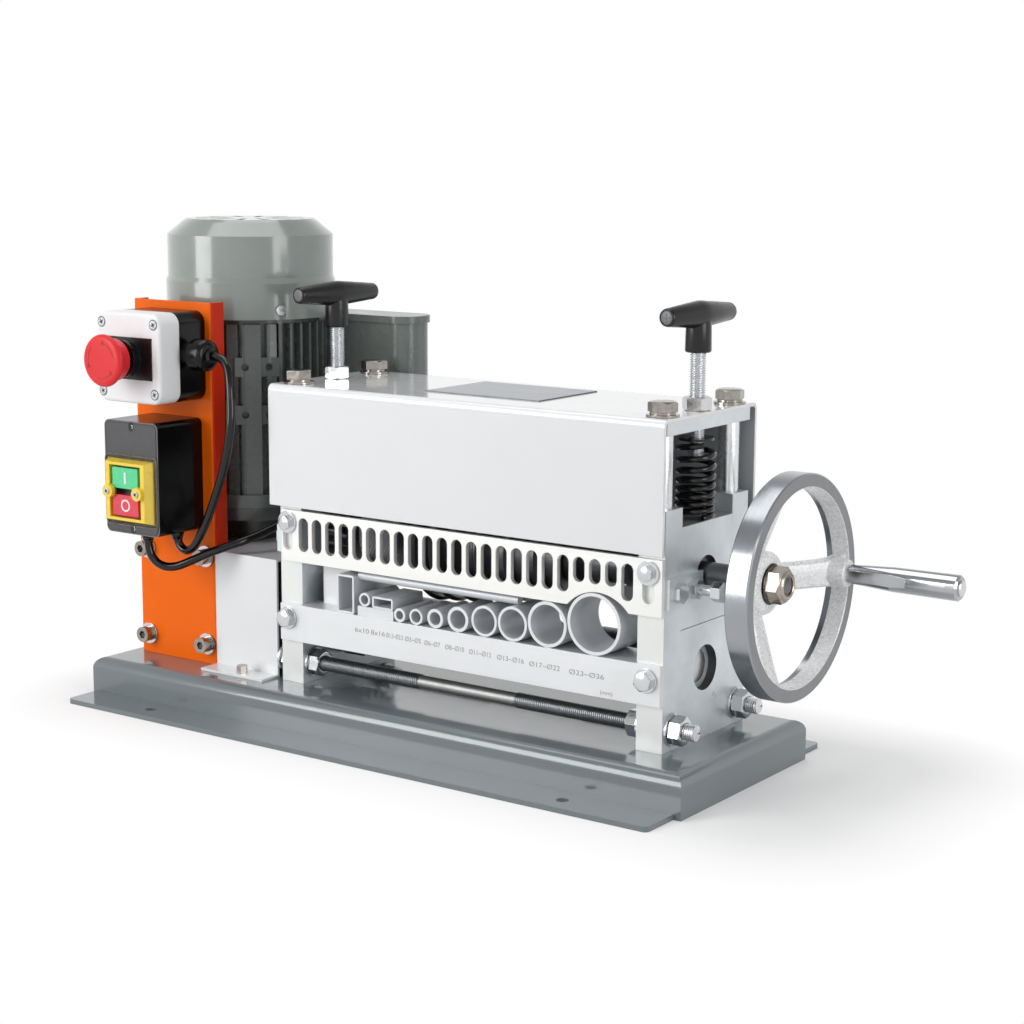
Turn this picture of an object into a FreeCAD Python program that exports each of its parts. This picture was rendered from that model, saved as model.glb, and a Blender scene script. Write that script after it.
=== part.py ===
import FreeCAD, Part
import math
import os
import re

import Sketcher

# Cable stripping machine: a roller head with guide channels, a worm geared motor and a hand wheel.
# The base's middle on the floor is the origin, X runs along the base, Y to the back, Z up.

SIZES = {
    # folded base pan
    "base_length": 578.5, "base_width": 255, "base_web_width": 185, "base_height": 31.5,
    "base_sheet": 4, "base_bend": 5, "base_hole_along": 406, "base_hole_edge": 16.5,
    "base_hole": 9, "base_flange_inset": 6, "base_flange_round": 4,
    # head frame, whose shaft line lies a little behind the middle of the base
    "shaft_offset": 5.5, "plate_middle": 69.75, "plate_spacing": 337.5, "plate_thickness": 22,
    "plate_depth": 118, "plate_height": 176.5, "window_width": 72, "window_floor": 86.5,
    "post_diameter": 16, "post_spread": 95, "post_length": 53, "top_plate_thickness": 9.5,
    # bent cover over the head
    "cover_sheet": 2.5, "cover_overhang_left": 6.5, "cover_overhang_right": 1,
    "cover_front": 64.5, "cover_back": 67.5, "cover_drop": 97, "cover_bend": 2.5,
    "label_length": 107, "label_width": 79, "label_sheet": 0.8, "label_middle": 67,
    "label_offset": 10,
    # shafts, journals and the gear pair
    "lower_axis_height": 52.5, "gear_module": 3, "gear_teeth": 23, "gear_width": 20,
    "gear_side_gap": 3, "upper_journal": 20, "lower_journal": 25, "shaft_core": 25,
    "upper_bore": 30, "lower_bore": 34, "bush_recess": 7,
    "running_gap": 0.05, "seat_gap": 0.1, "slide_gap": 0.2, "bolt_gap": 0.3,
    # sliding bearing blocks
    "block_height": 75, "block_rest_gap": 0.5, "keeper_length": 47, "keeper_height": 22,
    "keeper_sheet": 4, "keeper_height_above_foot": 117,
    # rollers on the two shafts
    "knurl_diameter": 64, "knurl_start": -52, "knurl_end": -14, "roller_edge": 1,
    "hub_diameter": 60,
    "cutter_width": 3, "hub_to_tube_gap": 1.5, "nip_height": 18, "groove_depth": 3,
    "flat_roller_start": -50, "roller_gap": 0.5,
    # slotted upper guide
    "upper_guide_foot": 100.5, "upper_guide_height": 41.5, "upper_guide_sheet": 4,
    "upper_guide_length": 355, "upper_guide_start": -105.3,
    "slot_width": 10, "slot_pitch": 13.8, "slot_first": -82.8, "slot_middle": 123,
    "slot_length": 27.3, "short_slot_length": 18.5, "long_slot_count": 19,
    "arch_diameter": 70, "arch_middle": 195.8, "arch_height": 77.5,
    # lower guide with its shelf
    "lower_guide_foot": 35.5, "lower_guide_height": 30, "lower_guide_sheet": 5,
    "lower_guide_length": 357, "lower_guide_start": -107, "shelf_sheet": 4, "shelf_end": 25,
    # guide tubes
    "tube_inset": 1, "flat_tube_wall": 1.6, "upright_tube_left": -48.5, "upright_tube_width": 17.2,
    "upright_tube_height": 30.6, "level_tube_left": -12.9, "level_tube_width": 20.4,
    "level_tube_height": 9.4, "riser_start": -27.5, "riser_end": 8, "riser_height": 7.6,
    "brace_diameter": 7, "brace_end": 122, "brace_depth": 54.5,
    "gear_sheet_start": -78, "gear_sheet_end": -50, "gear_sheet_height": 41, "gear_sheet": 2,
    "gear_sheet_depth": 44.5,
    # screws and nuts
    "big_thread": 12, "big_across": 19, "big_head": 7.5, "big_nut": 10, "thin_nut": 6,
    "big_washer": 24, "washer_sheet": 2, "guide_bolt": 8, "guide_bolt_across": 13,
    "guide_bolt_head": 5.3, "guide_washer": 18, "slot_bolt": 6, "slot_bolt_across": 10,
    "slot_bolt_head": 4, "guide_washer_sheet": 1.6, "guide_bolt_depth": 16,
    "slot_bolt_height": 132, "guide_bolt_height": 54,
    "tie_height": 16, "tie_spread": 92, "tie_waist": 10.5, "tie_thread_left": 110,
    "tie_thread_right": 113, "tie_end": 9,
    # press screws with T handles, and their springs
    "collar_diameter": 26, "collar_height": 2, "collar_drop": 7.5,
    "screw_tail": 14, "screw_shoulder": 2, "screw_top": 315, "t_bar_length": 82,
    "t_bar_height": 342, "t_bar_middle": 17, "t_bar_end": 10.5, "t_neck": 15, "t_edge": 1,
    "t_turn": 14,
    "spring_diameter": 30, "spring_wire": 4.5, "spring_gap": 0.3, "coil_gap": 0.5,
    # hand wheel and its turning handle
    "wheel_diameter": 164, "wheel_width": 18, "wheel_face": 328, "rim_depth": 13,
    "hub_end": 298, "hub_start": 282, "wheel_hub": 46, "spoke_width": 20, "spoke_thickness": 11,
    "spoke_count": 3, "spoke_inset": 3, "spoke_root": 4, "wheel_edge": 1, "hub_edge": 2,
    "handle_radius": 67, "handle_length": 87, "handle_root": 14, "handle_tip": 19,
    "handle_edge": 1.5, "handle_swell_end": 34.8, "handle_swell": 0.8, "handle_land": 8,
    "handle_flat": 48, "handle_flat_depth": 5.9, "handle_flat_slope": 3.2,
    "spindle": 8, "spindle_disc": 12, "spindle_disc_sheet": 1.5, "spindle_step": 2,
    "wheel_nut_across": 24, "wheel_nut_height": 13, "wheel_thread": 16, "thread_end": 313.5,
    "handle_gap": 3,
    # worm reducer and motor
    "motor_x": -228, "worm_offset": 40, "reducer_width": 78, "reducer_body_width": 62,
    "reducer_foot_width": 81, "reducer_foot_depth": 14, "reducer_foot_height": 22,
    "reducer_corner": 12, "reducer_neck": 81, "reducer_seal": 37, "reducer_seal_depth": 3,
    "reducer_height": 100, "reducer_front": 52.5, "reducer_round": 31, "flange_start": 116.5,
    "flange_tier": 10.8, "flange_diameter": 140, "motor_core": 116, "fin_depth": 8,
    "fin_thickness": 2.4, "fin_count": 40, "fin_root": 2, "fin_top_gap": 4, "frame_length": 147,
    "first_rib_turn": 12, "first_rib_width": 6, "second_rib_turn": -3, "second_rib_width": 14,
    "third_rib_turn": -18, "third_rib_width": 9, "rib_root": 6, "rotor_seat": 20,
    "foot_pad_turn": -44.4, "foot_pad_width": 37, "foot_pad_height": 16, "foot_pad_low": 229,
    "foot_pad_high": 269, "foot_pad_rise": 1, "foot_pad_hole": 6, "foot_pad_holes_along": 20,
    "foot_pad_hole_depth": 9, "cowl_diameter": 143.6, "cowl_top_diameter": 112,
    "cowl_waist": 32, "cowl_shoulder": 68.5, "cowl_height": 81.5, "cowl_sheet": 1.6,
    "cowl_step": 1.6, "cowl_slope": 2, "cowl_edge": 2, "cowl_cap": 24, "vent_inner": 19,
    "vent_outer": 47, "vent_root": 4, "vent_tip": 6, "vent_count": 12, "cowl_screw_turn": -28.5,
    "cowl_screw_height": 8, "cowl_screw_head": 8, "cowl_screw_rise": 2.4,
    "fan_diameter": 104, "rotor_shaft": 14,
    "fan_rise": 8, "fan_sheet": 3, "fan_hub": 36, "fan_hub_height": 34, "fan_blade_height": 30,
    "fan_blade_root": 14, "fan_blade_gap": 2, "rotor_top_gap": 12, "rotor_foot_gap": 1,
    "terminal_left": -190, "terminal_right": -81, "terminal_gap": 2, "terminal_depth": 38,
    "terminal_bottom": 250, "terminal_top": 313, "terminal_round": 16, "lid_height": 6,
    "lid_lip": 2,
    # guard over the shaft coupling
    "guard_right": -118, "guard_sheet": 2, "guard_height": 97.5, "guard_half": 56,
    "guard_foot": 19.5, "guard_bolt": 5, "guard_bolt_across": 8, "guard_bolt_head": 6.5,
    "guard_bolt_at": -146, "guard_bolt_out": 12.5,
    "coupling_diameter": 46, "coupling_end": -124,
    # control post, switch box and emergency stop
    "post_middle": -229.4, "post_width": 88, "post_height": 301.5, "post_sheet": 3,
    "post_flange": 15,
    "foot_screw_along": 67, "foot_screw_low": 17, "foot_screw_high": 91.5,
    "foot_screw": 8, "foot_screw_head": 13, "foot_screw_head_height": 8, "foot_screw_socket": 6,
    "foot_screw_depth": 12,
    "stop_width": 71, "stop_height": 73, "stop_middle": 258.5, "stop_case_depth": 29.5,
    "stop_cover_depth": 22.5, "stop_round": 10, "legend_width": 54, "legend_height": 34,
    "legend_sheet": 1, "collar_ring": 30, "collar_ring_depth": 7, "stem_diameter": 16,
    "mushroom": 42, "mushroom_depth": 17, "mushroom_face": 15, "mushroom_round": 4,
    "mushroom_lip": 2.5, "stop_case_rest": 3, "stop_travel": 4, "stop_screw_along": 58,
    "stop_screw_up": 56, "small_screw": 7, "stop_screw_rise": 0.4, "stop_pocket": 1.6,
    "stop_edge": 3, "stop_hole_depth": 12,
    "switch_width": 60, "switch_height": 93, "stop_switch_gap": 15, "switch_depth": 51,
    "switch_round": 5, "bezel_width": 52, "bezel_height": 52, "bezel_drop": 10.5,
    "bezel_depth": 8.4, "bezel_taper": 4.3, "bezel_window": 35, "bezel_window_height": 43,
    "lug": 11, "lug_along": 32.8, "lug_rise": 4, "lug_root": 3,
    "bezel_screw": 5, "bezel_screw_rise": 1.2,
    "button_width": 28.6, "button_height": 17, "button_spacing": 22.4, "button_depth": 8,
    "button_gap": 0.4, "button_well": 8, "button_tail": 4, "button_round": 1.2,
    "gland_across": 24, "gland_length": 25, "gland_rise": 3, "gland_depth": 20,
    "gland_nut": 11.25, "gland_dome": 20.6, "gland_round": 4,
    # leads: their ends in the switch box's foot and under the terminal box
    "lead": 7, "stop_lead_inset": 8, "stop_lead_depth": 23, "motor_lead_inset": 22.5,
    "motor_lead_depth": 9, "motor_lead_end": 45,
    # round channels from left to right: middle along X, outside and bore diameter
    "slim_at": -20.6, "slim_outside": 10.9, "slim_bore": 7.4,
    "first_at": 14.2, "first_outside": 11, "first_bore": 6.8,
    "second_at": 30.2, "second_outside": 12.6, "second_bore": 9,
    "third_at": 48.7, "third_outside": 15, "third_bore": 10.2,
    "fourth_at": 70.4, "fourth_outside": 19.6, "fourth_bore": 14.4,
    "fifth_at": 94.9, "fifth_outside": 23.6, "fifth_bore": 19.6,
    "sixth_at": 120.9, "sixth_outside": 26.5, "sixth_bore": 22.2,
    "seventh_at": 152.1, "seventh_outside": 34.5, "seventh_bore": 29.6,
    "eighth_at": 192.9, "eighth_outside": 46, "eighth_bore": 41,
}

ROUND_TUBES = ["slim", "first", "second", "third", "fourth", "fifth", "sixth", "seventh", "eighth"]

doc = FreeCAD.newDocument("cable_stripper")
sheet = doc.addObject("Spreadsheet::Sheet", "Sizes")
for row, (word, number) in enumerate(SIZES.items(), start=1):
    sheet.set(f"A{row}", word)
    sheet.set(f"B{row}", str(number))
    sheet.setAlias(f"B{row}", word)
doc.recompute()

# heights and places that follow from the sizes
BASE_TOP = "base_height"
LEFT_PLATE = "(plate_middle - plate_spacing/2)"
RIGHT_PLATE = "(plate_middle + plate_spacing/2)"
LEFT_INNER = f"({LEFT_PLATE} + plate_thickness/2)"
RIGHT_INNER = f"({RIGHT_PLATE} - plate_thickness/2)"
LEFT_OUTER = f"({LEFT_PLATE} - plate_thickness/2)"
RIGHT_OUTER = f"({RIGHT_PLATE} + plate_thickness/2)"
PLATE_FRONT = "(shaft_offset - plate_depth/2)"
LEG_TOP = "(base_height + plate_height)"
PLATE_SEAT = f"({LEG_TOP} + post_length)"
PLATE_TOP = f"({PLATE_SEAT} + top_plate_thickness)"
COVER_TOP = f"({PLATE_TOP} + slide_gap + cover_sheet)"
LOWER_AXIS = "(base_height + lower_axis_height)"
UPPER_AXIS = f"({LOWER_AXIS} + gear_module*gear_teeth)"
BLOCK_FOOT = "(base_height + window_floor + block_rest_gap)"
BLOCK_TOP = f"({BLOCK_FOOT} + block_height)"
LOWER_GUIDE_FOOT = "(base_height + lower_guide_foot)"
SHELF_TOP = f"({LOWER_GUIDE_FOOT} + lower_guide_height)"
UPPER_GUIDE_FOOT = "(base_height + upper_guide_foot)"
TUBE_FRONT = f"({PLATE_FRONT} - lower_guide_sheet + tube_inset)"
TUBE_LENGTH = f"(shaft_offset - shelf_end - {TUBE_FRONT})"
COLLAR_FOOT = f"({PLATE_SEAT} - collar_drop - collar_height)"
MOTOR_Y = "(shaft_offset + worm_offset)"
FLANGE_FOOT = "(base_height + flange_start)"
FRAME_FOOT = f"({FLANGE_FOOT} + 2*flange_tier)"
COWL_FOOT = f"({FRAME_FOOT} + frame_length)"
GUARD_LEFT = "(post_middle + post_width/2)"
POST_FRONT = "(shaft_offset - reducer_front - post_sheet)"
STOP_FRONT = f"({POST_FRONT} - stop_case_depth - stop_cover_depth)"
SWITCH_FRONT = f"({POST_FRONT} - switch_depth)"
SWITCH_MIDDLE = "(stop_middle - stop_height/2 - stop_switch_gap - switch_height/2)"

TURN = {
    "X": FreeCAD.Rotation(FreeCAD.Vector(0, 1, 0), 90),
    "Y": FreeCAD.Rotation(FreeCAD.Vector(1, 0, 0), -90),
    "Z": FreeCAD.Rotation(),
}


def sized(rule):
    """Point every size name in a rule at its cell in the sheet."""
    return re.sub(r"(?<![\w.])([a-z]\w*)\b(?!\()", r"Sizes.\1", rule)


def size(rule):
    """The number that a rule gives now."""
    return float(sheet.evalExpression(sized(rule)))


def bind(piece, **rules):
    """Tie properties of a piece to rules."""
    for prop, rule in rules.items():
        piece.setExpression(prop, sized(rule))
    return piece


def stand(piece, x, y, z, axis="Z"):
    """Put a piece's own origin at a place, with its own Z along an axis."""
    piece.Placement = FreeCAD.Placement(FreeCAD.Vector(), TURN[axis])
    for letter, rule in zip("xyz", (x, y, z)):
        piece.setExpression(f"Placement.Base.{letter}", sized(rule))
    return piece


def box(name, x, y, z, length, depth, height):
    """A block from its low corner."""
    piece = doc.addObject("Part::Box", name)
    bind(piece, Length=length, Width=depth, Height=height)
    return stand(piece, x, y, z)


def rod(name, axis, x, y, z, diameter, length):
    """A round bar from the middle of its first end."""
    piece = doc.addObject("Part::Cylinder", name)
    bind(piece, Radius=f"({diameter})/2", Height=length)
    return stand(piece, x, y, z, axis)


def hexagon(name, axis, x, y, z, across, length):
    """A hexagonal bar, sized across its flats."""
    piece = doc.addObject("Part::Prism", name)
    piece.Polygon = 6
    bind(piece, Circumradius=f"({across})/2/cos(30)", Height=length)
    return stand(piece, x, y, z, axis)


def cut(name, piece, *tools):
    """A piece less its tools."""
    tool = tools[0]
    if len(tools) > 1:
        tool = fuse(name + "_tools", *tools)
    result = doc.addObject("Part::Cut", name)
    result.Base = piece
    result.Tool = tool
    return result


def fuse(name, *pieces):
    """Pieces made one."""
    result = doc.addObject("Part::MultiFuse", name)
    result.Shapes = list(pieces)
    return result


def group(name, *pieces):
    """Separate solids kept as one sub-part."""
    result = doc.addObject("Part::Compound", name)
    result.Links = list(pieces)
    return result


def ring(name, axis, x, y, z, outside, bore, length):
    """A washer, bush or short tube."""
    outer = rod(name + "_outer", axis, x, y, z, outside, length)
    inner = rod(name + "_inner", axis, x, y, z, bore, length)
    return cut(name, outer, inner)


def nut(name, axis, x, y, z, across, bore, length):
    """A hexagon nut with a plain bore."""
    outer = hexagon(name + "_hexagon", axis, x, y, z, across, length)
    inner = rod(name + "_bore", axis, x, y, z, bore, length)
    return cut(name, outer, inner)


def rounded(name, piece, radius, test):
    """Round the edges that pass a test."""
    doc.recompute()
    result = doc.addObject("Part::Fillet", name)
    result.Base = piece
    chosen = [number for number, edge in enumerate(piece.Shape.Edges, start=1) if test(edge)]
    result.Edges = [(number, radius, radius) for number in chosen]
    return result


def along(edge, axis):
    """Whether a straight edge runs along X, Y or Z."""
    start = edge.Vertexes[0].Point
    step = edge.Vertexes[-1].Point.sub(start)
    rest = [abs(part) for letter, part in zip("XYZ", step) if letter != axis]
    return step.Length > 1e-6 and max(rest) < 1e-6


def origin_part(body, role):
    """A plane or axis of a body's own origin."""
    return [item for item in body.Origin.OriginFeatures if item.Role == role][0]


def sketch_on(body, name, plane):
    """An empty sketch on one of a body's origin planes."""
    sketch = body.newObject("Sketcher::SketchObject", name)
    sketch.AttachmentSupport = [(origin_part(body, plane + "_Plane"), "")]
    sketch.MapMode = "FlatFace"
    return sketch


def tie(sketch, kind, *rest, rule):
    """A dimension of a sketch, tied to a rule."""
    number = sketch.addConstraint(Sketcher.Constraint(kind, *rest, size(rule)))
    sketch.setExpression(f"Constraints[{number}]", sized(rule))


def outline(body, name, plane, corners):
    """A closed sketch through corners, each with its two distances from the origin."""
    sketch = sketch_on(body, name, plane)
    spots = [FreeCAD.Vector(size(first), size(second), 0) for first, second in corners]
    count = len(spots)
    for index in range(count):
        sketch.addGeometry(Part.LineSegment(spots[index], spots[(index + 1) % count]), False)
    for index in range(count):
        joint = Sketcher.Constraint("Coincident", index, 2, (index + 1) % count, 1)
        sketch.addConstraint(joint)
    for index, (first, second) in enumerate(corners):
        tie(sketch, "DistanceX", -1, 1, index, 1, rule=first)
        tie(sketch, "DistanceY", -1, 1, index, 1, rule=second)
    return sketch


def circles(body, name, plane, spots):
    """A sketch of circles, each with its middle and diameter."""
    sketch = sketch_on(body, name, plane)
    for index, (first, second, diameter) in enumerate(spots):
        middle = FreeCAD.Vector(size(first), size(second), 0)
        circle = Part.Circle(middle, FreeCAD.Vector(0, 0, 1), size(diameter) / 2)
        sketch.addGeometry(circle, False)
        tie(sketch, "DistanceX", -1, 1, index, 3, rule=first)
        tie(sketch, "DistanceY", -1, 1, index, 3, rule=second)
        tie(sketch, "Diameter", index, rule=diameter)
    return sketch


def upright_slot(body, name, across, up, width, length):
    """A sketch of one upright slot with round ends."""
    sketch = sketch_on(body, name, "XZ")
    radius = size(width) / 2
    reach = size(length) / 2 - radius
    x, z = size(across), size(up)
    normal = FreeCAD.Vector(0, 0, 1)
    top = Part.Circle(FreeCAD.Vector(x, z + reach, 0), normal, radius)
    foot = Part.Circle(FreeCAD.Vector(x, z - reach, 0), normal, radius)
    left = [FreeCAD.Vector(x - radius, z + side * reach, 0) for side in (1, -1)]
    right = [FreeCAD.Vector(x + radius, z + side * reach, 0) for side in (-1, 1)]
    sketch.addGeometry(Part.ArcOfCircle(top, 0, math.pi), False)
    sketch.addGeometry(Part.LineSegment(*left), False)
    sketch.addGeometry(Part.ArcOfCircle(foot, math.pi, 2 * math.pi), False)
    sketch.addGeometry(Part.LineSegment(*right), False)
    for index in range(4):
        sketch.addConstraint(Sketcher.Constraint("Tangent", index, 2, (index + 1) % 4, 1))
    sketch.addConstraint(Sketcher.Constraint("Equal", 0, 2))
    sketch.addConstraint(Sketcher.Constraint("Vertical", 1))
    tie(sketch, "Radius", 0, rule=f"({width})/2")
    tie(sketch, "DistanceX", -1, 1, 0, 3, rule=across)
    tie(sketch, "DistanceY", -1, 1, 0, 3, rule=f"({up}) + ({length})/2 - ({width})/2")
    tie(sketch, "DistanceY", 2, 3, 0, 3, rule=f"({length}) - ({width})")
    return sketch


def new_body(name, x="0", y="0", z="0"):
    """An empty body with its origin at a place."""
    body = doc.addObject("PartDesign::Body", name)
    return stand(body, x, y, z)


def pad(body, name, sketch, length, both_ways=False):
    """Material on a sketch, to one side or half to each side."""
    feature = body.newObject("PartDesign::Pad", name)
    feature.Profile = sketch
    if both_ways:
        feature.SideType = "Symmetric"
    bind(feature, Length=length)
    return feature


def pocket(body, name, sketch, depth=None):
    """Material taken out through the whole body, or to a depth below its sketch."""
    feature = body.newObject("PartDesign::Pocket", name)
    feature.Profile = sketch
    if depth is None:
        feature.SideType = "Symmetric"
        feature.Type = "ThroughAll"
    else:
        bind(feature, Length=depth)
    return feature


def soften(body, name, feature, radius, test):
    """Round the edges of a body's last feature that pass a test."""
    doc.recompute()
    chosen = [f"Edge{number}" for number, edge in enumerate(feature.Shape.Edges, start=1)
              if test(edge)]
    fillet = body.newObject("PartDesign::Fillet", name)
    fillet.Base = (feature, chosen)
    bind(fillet, Radius=radius)
    return fillet


def turned(name, axis, x, y, z, profile):
    """A body turned about an axis, from distances along it and radii."""
    body = new_body(name, x, y, z)
    if axis == "X":
        sketch = outline(body, name + "_profile", "XZ", profile)
    elif axis == "Y":
        sketch = outline(body, name + "_profile", "YZ", profile)
    else:
        sketch = outline(body, name + "_profile", "XZ", [(out, up) for up, out in profile])
    feature = body.newObject("PartDesign::Revolution", name + "_turned")
    feature.Profile = sketch
    feature.ReferenceAxis = (origin_part(body, axis + "_Axis"), [""])
    feature.Angle = 360
    return body


def at_height(edge, height):
    """Whether an edge lies wholly at one height."""
    return all(abs(vertex.Point.z - height) < 1e-6 for vertex in edge.Vertexes)


def base_pan():
    """Folded pan: a flat top, four walls down to the floor and a drilled flange on each long side."""
    body = new_body("base_pan_bent")
    half, web, sheet_up, top = "base_width/2", "base_web_width/2", "base_sheet", "base_height"
    hat = [(f"-{half}", "0"), (half, "0"), (half, sheet_up), (web, sheet_up), (web, top),
           (f"-{web}", top), (f"-{web}", sheet_up), (f"-{half}", sheet_up)]
    block = pad(body, "pan_block", outline(body, "pan_hat", "YZ", hat), "base_length", True)
    soften(body, "pan_top_bend", block, "base_bend + base_sheet",
           lambda edge: at_height(edge, size(top)))
    corner = [(f"{x}(base_length/2 - base_sheet)", f"{y}(base_web_width/2 - base_sheet)")
              for x, y in (("-", "-"), ("", "-"), ("", ""), ("-", ""))]
    hollow = pocket(body, "pan_hollow", outline(body, "pan_inside", "XY", corner),
                    "base_height - base_sheet")
    hollow.Reversed = True
    spots = [(f"{x}base_hole_along/2", f"{y}(base_width/2 - base_hole_edge)", "base_hole")
             for x in ("-", "") for y in ("-", "")]
    pocket(body, "pan_holes", circles(body, "pan_hole_circles", "XY", spots))
    flange = "(base_width - base_web_width)/2"
    notches = [box(f"flange_end_{count}", x, y, "0", "base_flange_inset", flange, sheet_up)
               for count, (x, y) in enumerate(
                   ((f"{left}", f"{low}")
                    for left in ("-base_length/2", "base_length/2 - base_flange_inset")
                    for low in (f"-{half}", web)))]
    trimmed = cut("pan_trimmed", body, *notches)
    end, side = size("base_length/2 - base_flange_inset"), size(half)
    return rounded("base_pan", trimmed, size("base_flange_round"),
                   lambda edge: along(edge, "Z") and abs(abs(edge.Vertexes[0].Point.x) - end) < 1e-6
                   and abs(abs(edge.Vertexes[0].Point.y) - side) < 1e-6)


def side_plate(name, middle):
    """Upright plate with an open window for the sliding block, a shaft bore and two tie rod holes."""
    body = new_body(name, middle, "shaft_offset", BASE_TOP)
    half, leg = "plate_depth/2", "window_width/2"
    shape = [(f"-{half}", "0"), (half, "0"), (half, "plate_height"), (leg, "plate_height"),
             (leg, "window_floor"), (f"-{leg}", "window_floor"), (f"-{leg}", "plate_height"),
             (f"-{half}", "plate_height")]
    pad(body, name + "_plate", outline(body, name + "_outline", "YZ", shape),
        "plate_thickness", True)
    spots = [("0", "lower_axis_height", "lower_bore"),
             ("-tie_spread/2", "tie_height", "big_thread + 2*bolt_gap"),
             ("tie_spread/2", "tie_height", "big_thread + 2*bolt_gap")]
    pocket(body, name + "_bores", circles(body, name + "_circles", "YZ", spots))
    return body


def drilled_side_plate(name, middle):
    """Side plate with the blind holes of the guide bolts and of the keeper bolt."""
    front = PLATE_FRONT
    low = rod(name + "_low_hole", "Y", middle, front, "base_height + guide_bolt_height",
              "guide_bolt + 2*bolt_gap", "guide_bolt_depth + bolt_gap")
    high = rod(name + "_high_hole", "Y", middle, front, "base_height + slot_bolt_height",
               "slot_bolt + 2*bolt_gap", "guide_bolt_depth + bolt_gap")
    return cut(name, side_plate(name + "_blank", middle), low, high)


def corner_posts():
    """Four turned posts between the legs and the top plate."""
    posts = []
    for side, middle in (("left", LEFT_PLATE), ("right", RIGHT_PLATE)):
        for end, sign in (("front", "-"), ("back", "+")):
            posts.append(rod(f"{side}_{end}_post", "Z", middle,
                             f"shaft_offset {sign} post_spread/2", LEG_TOP,
                             "post_diameter", "post_length"))
    return group("corner_posts", *posts)


def post_bores(name, foot, height, diameter):
    """Bars through the four post places and the two press screw places."""
    bars = []
    for side, middle in (("left", LEFT_PLATE), ("right", RIGHT_PLATE)):
        for end, shift in (("front", "- post_spread/2"), ("back", "+ post_spread/2")):
            bars.append(rod(f"{name}_{side}_{end}", "Z", middle, f"shaft_offset {shift}",
                            foot, diameter, height))
    return bars


def screw_bores(name, foot, height, diameter):
    """Bars through the two press screw places."""
    return [rod(f"{name}_{side}_screw", "Z", middle, "shaft_offset", foot, diameter, height)
            for side, middle in (("left", LEFT_PLATE), ("right", RIGHT_PLATE))]


def top_plate():
    """Thick plate that ties the posts and carries the press screws."""
    blank = box("top_plate_blank", LEFT_OUTER, PLATE_FRONT, PLATE_SEAT,
                "plate_spacing + plate_thickness", "plate_depth", "top_plate_thickness")
    bolts = post_bores("top_plate_bolt", PLATE_SEAT, "top_plate_thickness",
                       "big_thread + 2*bolt_gap")
    screws = screw_bores("top_plate", PLATE_SEAT, "top_plate_thickness",
                         "big_thread + 2*running_gap")
    return cut("top_plate", blank, *bolts, *screws)


def top_cover():
    """Bent cover: a top with a front and a back panel."""
    body = new_body("top_cover_bent", f"{LEFT_OUTER} - cover_overhang_left", "shaft_offset",
                    COVER_TOP)
    front, back, drop, wall = "-cover_front", "cover_back", "-cover_drop", "cover_sheet"
    shape = [(front, "0"), (back, "0"), (back, drop), (f"{back} - {wall}", drop),
             (f"{back} - {wall}", f"-{wall}"), (f"{front} + {wall}", f"-{wall}"),
             (f"{front} + {wall}", drop), (front, drop)]
    length = "plate_spacing + plate_thickness + cover_overhang_left + cover_overhang_right"
    bent = pad(body, "cover_bend_outline", outline(body, "cover_section", "YZ", shape), length)
    outer = soften(body, "cover_outer_bends", bent, "cover_bend + cover_sheet",
                   lambda edge: along(edge, "X") and at_height(edge, 0)
                   and edge.BoundBox.YLength < 1e-6)
    inner = -size("cover_sheet")
    soften(body, "cover_inner_bends", outer, "cover_bend",
           lambda edge: along(edge, "X") and at_height(edge, inner))
    foot = f"{COVER_TOP} - 2*cover_sheet"
    bolts = post_bores("cover_bolt", foot, "3*cover_sheet", "big_thread + 2*bolt_gap")
    screws = screw_bores("cover", foot, "3*cover_sheet", "big_thread + 4*bolt_gap")
    return cut("top_cover", body, *bolts, *screws)


def cover_label_plate():
    """Bare plate on top of the cover."""
    return box("cover_label_plate", "label_middle - label_length/2",
               "shaft_offset + label_offset - label_width/2", COVER_TOP,
               "label_length", "label_width", "label_sheet")


def cover_bolts_and_nuts():
    """Hexagon bolts into the posts, and the nuts that hold the press screw threads."""
    pieces = []
    for side, middle in (("left", LEFT_PLATE), ("right", RIGHT_PLATE)):
        for end, shift in (("front", "- post_spread/2"), ("back", "+ post_spread/2")):
            name, y = f"{side}_{end}_bolt", f"shaft_offset {shift}"
            pieces.append(ring(name + "_washer", "Z", middle, y, COVER_TOP, "big_washer",
                               "big_thread + 2*bolt_gap", "washer_sheet"))
            head = hexagon(name + "_head", "Z", middle, y, f"{COVER_TOP} + washer_sheet",
                           "big_across", "big_head")
            shank = rod(name + "_shank", "Z", middle, y, f"{PLATE_SEAT}", "big_thread",
                        f"{COVER_TOP} + washer_sheet - {PLATE_SEAT}")
            pieces.append(fuse(name, head, shank))
        pieces.append(nut(f"{side}_press_nut", "Z", middle, "shaft_offset", COVER_TOP,
                          "big_across", "big_thread + 2*running_gap", "big_nut"))
    return group("cover_bolts_and_nuts", *pieces)


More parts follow.
